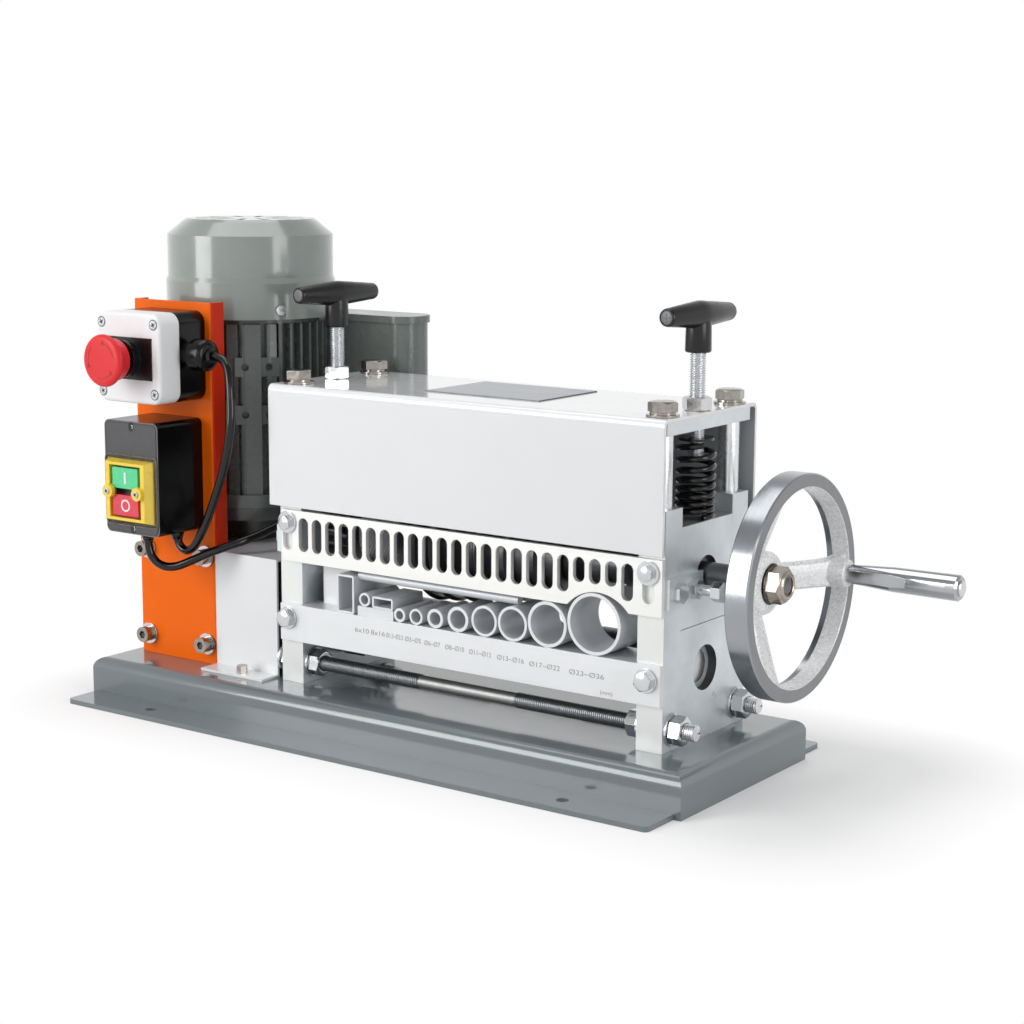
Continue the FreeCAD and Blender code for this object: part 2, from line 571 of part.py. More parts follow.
def upper_guide_plate():
    """Slotted plate across the front, arched over the largest channel."""
    body = new_body("upper_guide_plate", "0", f"{PLATE_FRONT}", BASE_TOP)
    left, right = "upper_guide_start", "upper_guide_start + upper_guide_length"
    foot, top = "upper_guide_foot", "upper_guide_foot + upper_guide_height"
    corners = [(left, foot), (right, foot), (right, top), (left, top)]
    pad(body, "guide_blank", outline(body, "guide_outline", "XZ", corners), "upper_guide_sheet")
    pocket(body, "guide_arch", circles(body, "arch_circle", "XZ",
                                       [("arch_middle", "arch_height", "arch_diameter")]))
    long_slot = pocket(body, "long_slot", upright_slot(
        body, "long_slot_outline", "slot_first", "slot_middle", "slot_width", "slot_length"))
    doc.recompute()
    row = body.newObject("PartDesign::LinearPattern", "long_slot_row")
    row.Originals = [long_slot]
    row.Direction = (origin_part(body, "X_Axis"), [""])
    row.Mode = "Spacing"
    bind(row, Offset="slot_pitch", Occurrences="long_slot_count")
    body.Tip = row
    short_middle = "slot_middle + (slot_length - short_slot_length)/2"
    for count in range(3):
        x = f"slot_first + slot_pitch*(long_slot_count + {count})"
        pocket(body, f"short_slot_{count}", upright_slot(
            body, f"short_slot_outline_{count}", x, short_middle, "slot_width",
            "short_slot_length"))
    last = "slot_first + slot_pitch*(long_slot_count + 3)"
    for name, x in (("last_slot", last), ("left_bolt_slot", LEFT_PLATE),
                    ("right_bolt_slot", RIGHT_PLATE)):
        pocket(body, name, upright_slot(body, name + "_outline", x, "slot_middle", "slot_width",
                                        "slot_length"))
    return body


def lower_guide_plate():
    """Angle across the front: an upright face and a shelf that the guide tubes lie on."""
    face = box("lower_guide_face", "lower_guide_start", f"{PLATE_FRONT} - lower_guide_sheet",
               LOWER_GUIDE_FOOT, "lower_guide_length", "lower_guide_sheet",
               "lower_guide_height")
    shelf = box("lower_guide_shelf", f"{LEFT_INNER} + bolt_gap", PLATE_FRONT,
                f"{SHELF_TOP} - shelf_sheet", f"{RIGHT_INNER} - {LEFT_INNER} - 2*bolt_gap",
                f"shaft_offset - shelf_end - {PLATE_FRONT}", "shelf_sheet")
    holes = [rod(f"lower_guide_{side}_hole", "Y", middle,
                 f"{PLATE_FRONT} - lower_guide_sheet", "base_height + guide_bolt_height",
                 "guide_bolt + 2*bolt_gap", "lower_guide_sheet")
             for side, middle in (("left", LEFT_PLATE), ("right", RIGHT_PLATE))]
    reach = "(gear_module*(gear_teeth/2 + 1) + shelf_sheet/2)"
    notch = box("gear_notch", LEFT_INNER, f"shaft_offset - {reach}", f"{SHELF_TOP} - shelf_sheet",
                "2*gear_side_gap + gear_width", reach, "shelf_sheet")
    return cut("lower_guide_plate", fuse("lower_guide_angle", face, shelf), notch, *holes)


def front_bolt(name, x, height, face, diameter, across, head):
    """A hexagon bolt with its washer, screwed into the front of a side plate."""
    washer = ring(name + "_washer", "Y", x, f"{face} - guide_washer_sheet", height,
                  "guide_washer", f"{diameter} + 2*bolt_gap", "guide_washer_sheet")
    top = hexagon(name + "_head", "Y", x, f"{face} - guide_washer_sheet - {head}", height,
                  across, head)
    shank = rod(name + "_shank", "Y", x, f"{face} - guide_washer_sheet", height, diameter,
                f"{PLATE_FRONT} + guide_bolt_depth - ({face} - guide_washer_sheet)")
    return [washer, fuse(name, top, shank)]


def guide_bolts_and_washers():
    """Two bolts through each guide into the side plates."""
    pieces = []
    for side, middle in (("left", LEFT_PLATE), ("right", RIGHT_PLATE)):
        pieces += front_bolt(f"{side}_lower_bolt", middle, "base_height + guide_bolt_height",
                             f"({PLATE_FRONT} - lower_guide_sheet)", "guide_bolt",
                             "guide_bolt_across", "guide_bolt_head")
        pieces += front_bolt(f"{side}_upper_bolt", middle, "base_height + slot_bolt_height",
                             f"({PLATE_FRONT} - upper_guide_sheet)", "slot_bolt",
                             "slot_bolt_across", "slot_bolt_head")
    return group("guide_bolts_and_washers", *pieces)


def tube_height(tube):
    """Height of a round channel's axis."""
    if tube == "slim":
        return f"({SHELF_TOP} + seat_gap + riser_height + seat_gap + slim_outside/2)"
    return f"({SHELF_TOP} + seat_gap + {tube}_outside/2)"


def square_tube(name, left, foot, width, height):
    """A rectangular channel from its low left corner."""
    outer = box(name + "_outer", left, TUBE_FRONT, foot, width, TUBE_LENGTH, height)
    inner = box(name + "_inner", f"{left} + flat_tube_wall", TUBE_FRONT,
                f"{foot} + flat_tube_wall", f"{width} - 2*flat_tube_wall", TUBE_LENGTH,
                f"{height} - 2*flat_tube_wall")
    hollow = cut(name + "_hollow", outer, inner)
    return rounded(name, hollow, size("flat_tube_wall"),
                   lambda edge: along(edge, "Y") and on_outline(edge, outer.Shape))


def on_outline(edge, shape):
    """Whether an edge lies at the corners of a block's box."""
    spot, bounds = edge.Vertexes[0].Point, shape.BoundBox
    across = min(abs(spot.x - bounds.XMin), abs(spot.x - bounds.XMax))
    upward = min(abs(spot.z - bounds.ZMin), abs(spot.z - bounds.ZMax))
    return across < 1e-6 and upward < 1e-6


def guide_tubes():
    """Two rectangular and nine round channels side by side on the shelf."""
    pieces = [
        square_tube("upright_tube", "upright_tube_left", f"({SHELF_TOP} + seat_gap)",
                    "upright_tube_width", "upright_tube_height"),
        square_tube("level_tube", "level_tube_left",
                    f"({SHELF_TOP} + 2*seat_gap + riser_height)",
                    "level_tube_width", "level_tube_height"),
    ]
    for tube in ROUND_TUBES:
        pieces.append(ring(f"{tube}_tube", "Y", f"{tube}_at", TUBE_FRONT, tube_height(tube),
                           f"{tube}_outside", f"{tube}_bore", TUBE_LENGTH))
    return group("guide_tubes", *pieces)


def tube_braces():
    """The bar under the two small channels and the rod across the tops of the others."""
    riser = box("tube_riser", "riser_start", TUBE_FRONT, f"{SHELF_TOP} + seat_gap/2",
                "riser_end - riser_start", TUBE_LENGTH, "riser_height")
    start = "(upright_tube_left + upright_tube_width + seat_gap)"
    height = f"{SHELF_TOP} + 2*seat_gap + sixth_outside + brace_diameter/2"
    brace = rod("brace_rod", "X", start, "shaft_offset - brace_depth", height,
                "brace_diameter", f"brace_end - {start}")
    return group("tube_braces", riser, brace)


def gear_guard_sheet():
    """Upright sheet on the shelf in front of the gear pair."""
    return box("gear_guard_sheet", "gear_sheet_start", "shaft_offset - gear_sheet_depth",
               SHELF_TOP, "gear_sheet_end - gear_sheet_start", "gear_sheet",
               "gear_sheet_height")


def tie_rods():
    """Two stay rods through the side plates, threaded at both ends."""
    start = f"({LEFT_OUTER} - washer_sheet/2 - thin_nut)"
    end = f"({RIGHT_OUTER} + washer_sheet + big_nut + tie_end)"
    left, right = f"({LEFT_INNER} + tie_thread_left)", f"({RIGHT_INNER} - tie_thread_right)"
    thread, waist = "big_thread/2", "tie_waist/2"
    profile = [(start, "0"), (start, thread), (left, thread), (left, waist), (right, waist),
               (right, thread), (end, thread), (end, "0")]
    rods = [turned(f"{side}_tie_rod", "X", "0", f"shaft_offset {sign} tie_spread/2",
                   "base_height + tie_height", profile)
            for side, sign in (("front", "-"), ("back", "+"))]
    return group("tie_rods", *rods)


def tie_rod_nuts():
    """Nuts and washers on both faces of each side plate."""
    pieces = []
    bore, height = "big_thread + 2*bolt_gap", "base_height + tie_height"
    for side, sign in (("front", "-"), ("back", "+")):
        y = f"shaft_offset {sign} tie_spread/2"
        places = [("left_outer", f"{LEFT_OUTER} - washer_sheet/2 - thin_nut", "thin_nut",
                   f"{LEFT_OUTER} - washer_sheet/2", "washer_sheet/2"),
                  ("left_inner", f"{LEFT_INNER} + washer_sheet", "big_nut",
                   LEFT_INNER, "washer_sheet"),
                  ("right_inner", f"{RIGHT_INNER} - washer_sheet - big_nut", "big_nut",
                   f"{RIGHT_INNER} - washer_sheet", "washer_sheet"),
                  ("right_outer", f"{RIGHT_OUTER} + washer_sheet", "big_nut",
                   RIGHT_OUTER, "washer_sheet")]
        for place, nut_x, nut_length, washer_x, washer_length in places:
            name = f"{side}_{place}"
            pieces.append(nut(name + "_nut", "X", nut_x, y, height, "big_across", bore,
                              nut_length))
            pieces.append(ring(name + "_washer", "X", washer_x, y, height, "big_washer", bore,
                               washer_length))
    return group("tie_rod_nuts_and_washers", *pieces)


def block_keepers():
    """A strap on each side plate that keeps its block in, with a bolt and a clamp screw."""
    pieces = []
    height = "base_height + keeper_height_above_foot"
    leg = "shaft_offset - (window_width + plate_depth)/4"
    clamp = "shaft_offset - window_width/2 + guide_bolt + bolt_gap"
    for side, face, outward in (("left", LEFT_OUTER, "-"), ("right", RIGHT_OUTER, "+")):
        low = face if outward == "+" else f"{face} - keeper_sheet"
        strap = box(f"{side}_keeper_blank", low, PLATE_FRONT, f"{height} - keeper_height/2",
                    "keeper_sheet", "keeper_length", "keeper_height")
        hole = rod(f"{side}_keeper_hole", "X", low, leg, height, "guide_bolt + 2*bolt_gap",
                   "keeper_sheet")
        second = rod(f"{side}_clamp_hole", "X", low, clamp, height,
                     "guide_bolt + 2*bolt_gap", "keeper_sheet")
        pieces.append(cut(f"{side}_keeper", strap, hole, second))
        top = f"{face} + keeper_sheet" if outward == "+" else f"{low} - guide_bolt_head"
        head = hexagon(f"{side}_keeper_head", "X", top, leg, height, "guide_bolt_across",
                       "guide_bolt_head")
        start = face if outward == "+" else low
        shank = rod(f"{side}_keeper_shank", "X", start, leg, height, "guide_bolt",
                    "keeper_sheet")
        pieces.append(fuse(f"{side}_keeper_bolt", head, shank))
    face = f"{RIGHT_OUTER} + keeper_sheet"
    pieces.append(nut("clamp_nut", "X", face, clamp, height, "guide_bolt_across",
                      "guide_bolt + 2*bolt_gap", "guide_bolt_head + washer_sheet/2"))
    stem = rod("clamp_stem", "X", f"{RIGHT_OUTER} + bolt_gap", clamp, height, "guide_bolt",
               "keeper_sheet + 2*guide_bolt_across - bolt_gap")
    head = hexagon("clamp_head", "X", f"{face} + guide_bolt_across + guide_bolt_head", clamp,
                   height, "guide_bolt_across", "guide_bolt_across - guide_bolt_head")
    pieces.append(fuse("clamp_screw", stem, head))
    return group("block_keepers_and_bolts", *pieces)


def bush(name, plate, axis_height, bore, journal, outer_sign):
    """A bearing bush, set back from a plate's outer face."""
    start = f"{plate} - plate_thickness/2"
    if outer_sign == "-":
        start = f"{start} + bush_recess"
    return ring(name, "X", start, "shaft_offset", axis_height, f"{bore} - 2*running_gap",
                f"{journal} + 2*running_gap", "plate_thickness - bush_recess")


def lower_shaft_bushes():
    """Bushes of the lower shaft in the side plates."""
    return group("lower_shaft_bushes",
                 bush("left_lower_bush", LEFT_PLATE, LOWER_AXIS, "lower_bore", "lower_journal",
                      "-"),
                 bush("right_lower_bush", RIGHT_PLATE, LOWER_AXIS, "lower_bore",
                      "lower_journal", "+"))


def bearing_blocks():
    """Blocks that slide in the windows and hold the upper shaft, with their bushes."""
    pieces = []
    for side, plate, sign in (("left", LEFT_PLATE, "-"), ("right", RIGHT_PLATE, "+")):
        blank = box(f"{side}_block_blank", f"{plate} - plate_thickness/2",
                    "shaft_offset - window_width/2 + slide_gap", BLOCK_FOOT,
                    "plate_thickness", "window_width - 2*slide_gap", "block_height")
        bore = rod(f"{side}_block_bore", "X", f"{plate} - plate_thickness/2", "shaft_offset",
                   UPPER_AXIS, "upper_bore", "plate_thickness")
        pieces.append(cut(f"{side}_block", blank, bore))
        pieces.append(bush(f"{side}_upper_bush", plate, UPPER_AXIS, "upper_bore",
                           "upper_journal", sign))
    return group("bearing_blocks", *pieces)


def upper_shaft():
    """Journal at both ends, a thicker core between the blocks and a long end for the wheel."""
    start, end = f"({LEFT_OUTER} + bush_recess/2)", "thread_end"
    left, right = f"({LEFT_INNER} + seat_gap)", f"({RIGHT_INNER} - seat_gap)"
    core, journal = "shaft_core/2", "upper_journal/2"
    profile = [(start, "0"), (start, journal), (left, journal), (left, core), (right, core),
               (right, journal), ("hub_end", journal), ("hub_end", "wheel_thread/2"),
               (end, "wheel_thread/2"), (end, "0")]
    return turned("upper_shaft", "X", "0", "shaft_offset", UPPER_AXIS, profile)


def gear_place():
    """Where both gears start along X."""
    return f"({LEFT_INNER} + gear_side_gap)"


def gear(name, axis_height, bore, first_angle):
    """Spur gear with straight flanked teeth, thinned a little for backlash."""
    module, teeth = size("gear_module"), int(size("gear_teeth"))
    pitch = module * teeth / 2
    half = math.pi / (2 * teeth)
    steps = [(pitch - 1.25 * module, 1.5), (pitch - 0.5 * module, 1.14), (pitch, 0.88),
             (pitch + 0.6 * module, 0.57), (pitch + module, 0.38)]
    spots = []
    for tooth in range(teeth):
        middle = math.radians(first_angle) + 2 * math.pi * tooth / teeth
        for radius, share in steps:
            spots.append((radius, middle - share * half))
        for radius, share in reversed(steps):
            spots.append((radius, middle + share * half))
    corners = [FreeCAD.Vector(0, radius * math.cos(angle), radius * math.sin(angle))
               for radius, angle in spots]
    face = Part.Face(Part.makePolygon(corners + corners[:1]))
    blank = face.extrude(FreeCAD.Vector(size("gear_width"), 0, 0))
    hole = Part.makeCylinder(size(bore) / 2, size("gear_width"), FreeCAD.Vector(),
                             FreeCAD.Vector(1, 0, 0))
    piece = doc.addObject("Part::Feature", name)
    piece.Shape = blank.cut(hole)
    return stand(piece, gear_place(), "shaft_offset", axis_height)


def channel_edges(tube):
    """Where a channel's rollers begin and end, halfway to the channels beside it."""
    order = ROUND_TUBES[1:]
    spot = order.index(tube)
    left = "level_tube_left + level_tube_width + roller_gap"
    if spot > 0:
        left = f"({order[spot - 1]}_at + {tube}_at)/2 + roller_gap/2"
    right = f"{tube}_at + {tube}_outside/2"
    if spot < len(order) - 1:
        right = f"({order[spot + 1]}_at + {tube}_at)/2 - roller_gap/2"
    return f"({left})", f"({right})"


def upper_cutter_rollers():
    """A disc cutter over each round channel, on a hub where the channel leaves room for one."""
    bore = "(shaft_core/2 + running_gap)"
    rollers = []
    for tube in ROUND_TUBES[1:]:
        left, right = channel_edges(tube)
        room = f"{UPPER_AXIS} - {tube_height(tube)} - {tube}_outside/2 - hub_to_tube_gap"
        hub = f"max(min(hub_diameter/2; {room}); {bore} + cutter_width)"
        cutter = f"({UPPER_AXIS} - {tube_height(tube)} - {tube}_bore/4)"
        side = "cutter_width/2"
        profile = [(left, bore), (left, hub), (f"{tube}_at - {side}", hub),
                   (f"{tube}_at - {side}", f"{cutter} - cutter_width"), (f"{tube}_at", cutter),
                   (f"{tube}_at + {side}", f"{cutter} - cutter_width"),
                   (f"{tube}_at + {side}", hub), (right, hub), (right, bore)]
        rollers.append(turned(f"{tube}_cutter", "X", "0", "shaft_offset", UPPER_AXIS, profile))
    return group("upper_cutter_rollers", *rollers)


def knurled_feed_roller():
    """Feed roller over the upright and the slim channel, with its edges broken."""
    bore, out = "(shaft_core/2 + running_gap)", "knurl_diameter/2"
    profile = [("knurl_start", bore), ("knurl_start", f"{out} - roller_edge"),
               ("knurl_start + roller_edge", out), ("knurl_end - roller_edge", out),
               ("knurl_end", f"{out} - roller_edge"), ("knurl_end", bore)]
    return turned("knurled_feed_roller", "X", "0", "shaft_offset", UPPER_AXIS, profile)


def lower_shaft():
    """Lower shaft from the reducer's output to just inside the right bore."""
    start = "(motor_x + reducer_width/2 + seat_gap)"
    end = f"({RIGHT_OUTER} - bush_recess)"
    return rod("lower_shaft", "X", start, "shaft_offset", LOWER_AXIS, "lower_journal",
               f"{end} - {start}")


def lower_feed_rollers():
    """Grooved feed rollers under the channels."""
    bore = "(lower_journal/2 + running_gap)"
    rim, groove = "nip_height", "nip_height - groove_depth"
    flat_end = "level_tube_left + level_tube_width - roller_gap/2"
    profile = [("flat_roller_start", bore), ("flat_roller_start", rim), (flat_end, rim),
               (flat_end, bore)]
    rollers = [turned("flat_roller", "X", "0", "shaft_offset", LOWER_AXIS, profile)]
    for tube in ROUND_TUBES[1:]:
        left, right = channel_edges(tube)
        profile = [(left, bore), (left, rim), (f"{tube}_at - {tube}_bore/4", rim),
                   (f"{tube}_at", groove), (f"{tube}_at + {tube}_bore/4", rim), (right, rim),
                   (right, bore)]
        rollers.append(turned(f"{tube}_roller", "X", "0", "shaft_offset", LOWER_AXIS, profile))
    return group("lower_feed_rollers", *rollers)


def shaft_coupling():
    """Sleeve that joins the lower shaft to the reducer's output."""
    start = "(motor_x + reducer_width/2 + bolt_gap)"
    return ring("shaft_coupling", "X", start, "shaft_offset", LOWER_AXIS, "coupling_diameter",
                "lower_journal + 2*running_gap", f"coupling_end - {start}")


def hand_wheel():
    """Cast wheel: a rim, a hub and tapered spokes, one of which carries the handle."""
    out, inside = "wheel_diameter/2", "(wheel_diameter/2 - rim_depth)"
    back, face = "(wheel_face - wheel_width)", "wheel_face"
    body = new_body("handwheel_casting", "0", "shaft_offset", UPPER_AXIS)
    rim_profile = [(back, inside), (back, f"{out} - wheel_edge"), (f"{back} + wheel_edge", out),
                   (f"{face} - wheel_edge", out), (face, f"{out} - wheel_edge"), (face, inside)]
    rim_sketch = outline(body, "rim_profile", "XZ", rim_profile)
    rim = body.newObject("PartDesign::Revolution", "rim")
    rim.Profile = rim_sketch
    rim.ReferenceAxis = (origin_part(body, "X_Axis"), [""])
    rim.Angle = 360
    hub_profile = [("hub_start", "upper_journal/2"), ("hub_start", "wheel_hub/2 - hub_edge"),
                   ("hub_start + hub_edge", "wheel_hub/2"), ("hub_end - hub_edge", "wheel_hub/2"),
                   ("hub_end", "wheel_hub/2 - hub_edge"), ("hub_end", "upper_journal/2")]
    hub_sketch = outline(body, "hub_profile", "XZ", hub_profile)
    near, far = "(upper_journal/2 + spoke_root)", f"({inside} + spoke_root/2)"
    top, tip = "(hub_end - hub_edge)", f"({face} - spoke_inset)"
    spoke_sketch = outline(body, "spoke_outline", "XY", [
        (f"{top} - spoke_thickness", near), (top, near), (top, "wheel_hub/2"), (tip, far),
        (f"{tip} - spoke_thickness", far)])
    spoke = pad(body, "spoke", spoke_sketch, "spoke_width", True)
    doc.recompute()
    ring_of_spokes = body.newObject("PartDesign::PolarPattern", "spokes")
    ring_of_spokes.Originals = [spoke]
    ring_of_spokes.Axis = (origin_part(body, "X_Axis"), [""])
    ring_of_spokes.Angle = 360
    bind(ring_of_spokes, Occurrences="spoke_count")
    body.Tip = ring_of_spokes
    hub = body.newObject("PartDesign::Revolution", "hub")
    hub.Profile = hub_sketch
    hub.ReferenceAxis = (origin_part(body, "X_Axis"), [""])
    hub.Angle = 360
    hole = rod("handle_hole", "X", "wheel_face - wheel_width", "shaft_offset + handle_radius",
               UPPER_AXIS, "spindle + 2*running_gap", "wheel_width")
    return cut("handwheel", body, hole)


def wheel_nut_and_spindle():
    """Nut on the upper shaft's end, and the spindle that the handle turns on."""
    wheel_nut = nut("wheel_nut", "X", "hub_end", "shaft_offset", UPPER_AXIS,
                    "wheel_nut_across", "wheel_thread + 2*bolt_gap", "wheel_nut_height")
    start, step = "(wheel_face - wheel_width)", "(wheel_face + handle_gap/2)"
    tip = "(wheel_face + handle_gap + handle_length)"
    end = f"({tip} + seat_gap + spindle_disc_sheet)"
    profile = [(start, "0"), (start, "spindle/2"), ("wheel_face + seat_gap", "spindle/2"),
               ("wheel_face + seat_gap", "spindle/2 + spindle_step"),
               (step, "spindle/2 + spindle_step"),
               (step, "spindle/2"), (f"{tip} + seat_gap", "spindle/2"),
               (f"{tip} + seat_gap", "spindle_disc/2"), (end, "spindle_disc/2"), (end, "0")]
    spindle = turned("handle_spindle", "X", "0", "shaft_offset + handle_radius", UPPER_AXIS,
                     profile)
    return group("handwheel_nut_and_spindle", wheel_nut, spindle)


def handle_sleeve():
    """Steel sleeve that swells towards its end, with three flats by the wheel."""
    bore = "(spindle/2 + running_gap)"
    start, end = "(wheel_face + handle_gap)", "(wheel_face + handle_gap + handle_length)"
    root, tip = "handle_root/2", "handle_tip/2"
    profile = [(start, bore), (start, f"{root} - handle_edge"),
               (f"{start} + handle_edge", root),
               (f"{start} + handle_swell_end", f"{tip} - handle_swell/2"),
               (f"{end} - handle_land", tip), (f"{end} - handle_edge", tip),
               (end, f"{tip} - handle_edge"), (end, bore)]
    sleeve = turned("handle_turned", "X", "0", "shaft_offset + handle_radius", UPPER_AXIS,
                    profile)
    doc.recompute()
    cutters = []
    wide, depth = size("handle_tip"), size("handle_flat_depth")
    for number in range(3):
        slab = Part.makeBox(size("handle_flat"), wide, wide, FreeCAD.Vector(0, depth, -wide / 2))
        slab.rotate(FreeCAD.Vector(0, depth, 0), FreeCAD.Vector(0, 0, 1),
                    size("handle_flat_slope"))
        slab.rotate(FreeCAD.Vector(), FreeCAD.Vector(1, 0, 0), 120 * number + 60)
        cutters.append(slab)
    flats = doc.addObject("Part::Feature", "handle_flats")
    flats.Shape = Part.makeCompound(cutters)
    stand(flats, start, "shaft_offset + handle_radius", UPPER_AXIS)
    return cut("handle_sleeve", sleeve, flats)


def helix_spot(angle, radius, heights):
    """Point on a coil whose climb changes with its turns, from heights at equal angles."""
    return FreeCAD.Vector(radius * math.cos(angle), radius * math.sin(angle), heights(angle))


def biarc(start, start_way, end, end_way):
    """Two arcs that join two points along two directions."""
    chord = end.sub(start)
    ways = start_way + end_way
    square = 2 * start_way.dot(end_way) - 2
    linear = chord.dot(ways)
    reach = (2 * linear - math.sqrt(4 * linear * linear - 4 * square * chord.dot(chord)))
    reach = reach / (2 * square)
    first, second = start + start_way * reach, end - end_way * reach
    joint = (first + second) * 0.5
    return [tangent_arc(start, first, joint), tangent_arc(joint, second, end)]


def tangent_arc(start, corner, end):
    """The arc that leaves towards a corner and comes from it."""
    before, after = corner.sub(start), end.sub(corner)
    turn = before.getAngle(after)
    middle = (start + end) * 0.5
    rise = (end.sub(start).Length / 2) * math.tan(turn / 4)
    outward = corner.sub(middle).normalize()
    return Part.Arc(start, middle + outward * rise, end).toShape()


def press_spring(name, plate):
    """Spring round a press screw, from its block to its collar, opening towards its top."""
    wire, radius = size("spring_wire"), (size("spring_diameter") - size("spring_wire")) / 2
    foot = size(BLOCK_TOP) + size("spring_gap")
    length = size(COLLAR_FOOT) - size("spring_gap") - foot
    climb = length - wire
    closed_rise = wire + size("coil_gap")
    turns = max(3, int(climb / (1.3 * closed_rise)))
    opening = climb - turns * closed_rise

    def height(angle):
        turn = angle / (2 * math.pi)
        return wire / 2 + turn * closed_rise + opening * (turn / turns) ** 3

    def way(angle):
        nudge = 0.01
        step = helix_spot(angle + nudge, radius, height) - helix_spot(angle - nudge, radius,
                                                                      height)
        return step.normalize()

    edges = []
    quarter = math.pi / 2
    for count in range(int(4 * turns)):
        first, second = count * quarter, (count + 1) * quarter
        edges += biarc(helix_spot(first, radius, height), way(first),
                       helix_spot(second, radius, height), way(second))
    path = Part.Wire(edges)
    start = helix_spot(0, radius, height)
    section = Part.Wire(Part.Circle(start, way(0), wire / 2).toShape())
    solid = path.makePipeShell([section], True, False)
    gap = min(height(angle + 2 * math.pi) - height(angle) - wire
              for angle in [0.1 * step for step in range(int(20 * math.pi * (turns - 1)))])
    print(name, "turns", turns, "least gap", round(gap, 2))
    piece = doc.addObject("Part::Feature", name)
    piece.Shape = solid
    return stand(piece, plate, "shaft_offset", f"{BLOCK_TOP} + spring_gap")


def spring_collar(name, plate):
    """Cup that the press screw pushes on its spring with."""
    return ring(name, "Z", plate, "shaft_offset", COLLAR_FOOT, "collar_diameter",
                "big_thread + 2*running_gap", "collar_height")


def press_screw(name, plate):
    """Screw with a shoulder over the collar and a tail inside the spring."""
    foot = f"({COLLAR_FOOT} - screw_tail)"
    shoulder = f"({COLLAR_FOOT} - bolt_gap)"
    under = f"({shoulder} - screw_shoulder)"
    profile = [(foot, "0"), (foot, "big_thread/2"), (under, "big_thread/2"),
               (under, "big_thread/2 + screw_shoulder"),
               (shoulder, "big_thread/2 + screw_shoulder"),
               (shoulder, "big_thread/2"), ("screw_top", "big_thread/2"), ("screw_top", "0")]
    return turned(name, "Z", plate, "shaft_offset", "0", profile)


def t_handle(name, plate):
    """Moulded handle: a neck on the screw and a bar that tapers to both ends."""
    neck = [("screw_top", "0"), ("screw_top", "t_neck/2 - t_edge/2"),
            ("screw_top + t_edge", "t_neck/2"),
            ("t_bar_height - t_bar_middle/2 + t_edge", "t_neck/2 - t_edge/2"),
            ("t_bar_height", "t_neck/2"), ("t_bar_height", "0")]
    neck_piece = turned(name + "_neck", "Z", plate, "shaft_offset", "0", neck)
    half = "t_bar_length/2"
    bar = [(f"-{half}", "0"), (f"-{half}", "t_bar_end/2 - t_edge"),
           (f"-{half} + t_edge", "t_bar_end/2"), ("-t_neck/2", "t_bar_middle/2"),
           ("t_neck/2", "t_bar_middle/2"), (f"{half} - t_edge", "t_bar_end/2"),
           (half, "t_bar_end/2 - t_edge"), (half, "0")]
    bar_piece = turned(name + "_bar", "Y", plate, "shaft_offset", "t_bar_height", bar)
    bar_piece.Placement = FreeCAD.Placement(
        FreeCAD.Vector(), FreeCAD.Rotation(FreeCAD.Vector(0, 0, 1), -size("t_turn")))
    for letter, rule in zip("xyz", (plate, "shaft_offset", "t_bar_height")):
        bar_piece.setExpression(f"Placement.Base.{letter}", sized(rule))
    return fuse(name, neck_piece, bar_piece)


def reducer_housing():
    """Worm reducer: a foot face to the front, round bosses for its shafts and a top flange."""
    front = "shaft_offset - reducer_front"
    body = box("reducer_body", "motor_x - reducer_body_width/2", front, BASE_TOP,
               "reducer_body_width", f"{MOTOR_Y} + reducer_round - ({front})", "reducer_height")
    smooth = rounded("reducer_smooth", body, size("reducer_corner"),
                     lambda edge: along(edge, "X") and edge.BoundBox.YMin > 0)
    boss = rod("reducer_boss", "X", "motor_x - reducer_width/2", "shaft_offset", LOWER_AXIS,
               "2*lower_axis_height - reducer_corner", "reducer_width")
    feet = [box(f"reducer_foot_{place}", "post_middle - reducer_foot_width/2", front, foot,
                "reducer_foot_width", "reducer_foot_depth", "reducer_foot_height")
            for place, foot in (("low", BASE_TOP),
                                ("high", f"{BASE_TOP} + reducer_height - reducer_foot_height"))]
    top = f"({BASE_TOP} + reducer_height - reducer_corner)"
    neck = rod("reducer_neck", "Z", "motor_x", MOTOR_Y, top, "reducer_neck",
               f"{FLANGE_FOOT} - {top}")
    flange = rod("reducer_flange", "Z", "motor_x", MOTOR_Y, FLANGE_FOOT, "flange_diameter",
                 "flange_tier")
    solid = fuse("reducer_solid", smooth, boss, *feet, neck, flange)
    holes = [rod(f"reducer_hole_{count}", "Y", x, front, z, "foot_screw + 2*bolt_gap",
                 "foot_screw_depth + bolt_gap")
             for count, (x, z) in enumerate(foot_screw_places())]
    seals = [rod(f"reducer_seal_{side}", "X", x, "shaft_offset", LOWER_AXIS, "reducer_seal",
                 "reducer_seal_depth")
             for side, x in (("left", "motor_x - reducer_width/2"),
                             ("right", "motor_x + reducer_width/2 - reducer_seal_depth"))]
    return cut("reducer_housing", solid, *holes, *seals)


def foot_screw_places():
    """Across and upward places of the four screws that hold the post to the reducer."""
    return [(f"post_middle {side} foot_screw_along/2", f"base_height + {height}")
            for side in ("-", "+") for height in ("foot_screw_low", "foot_screw_high")]


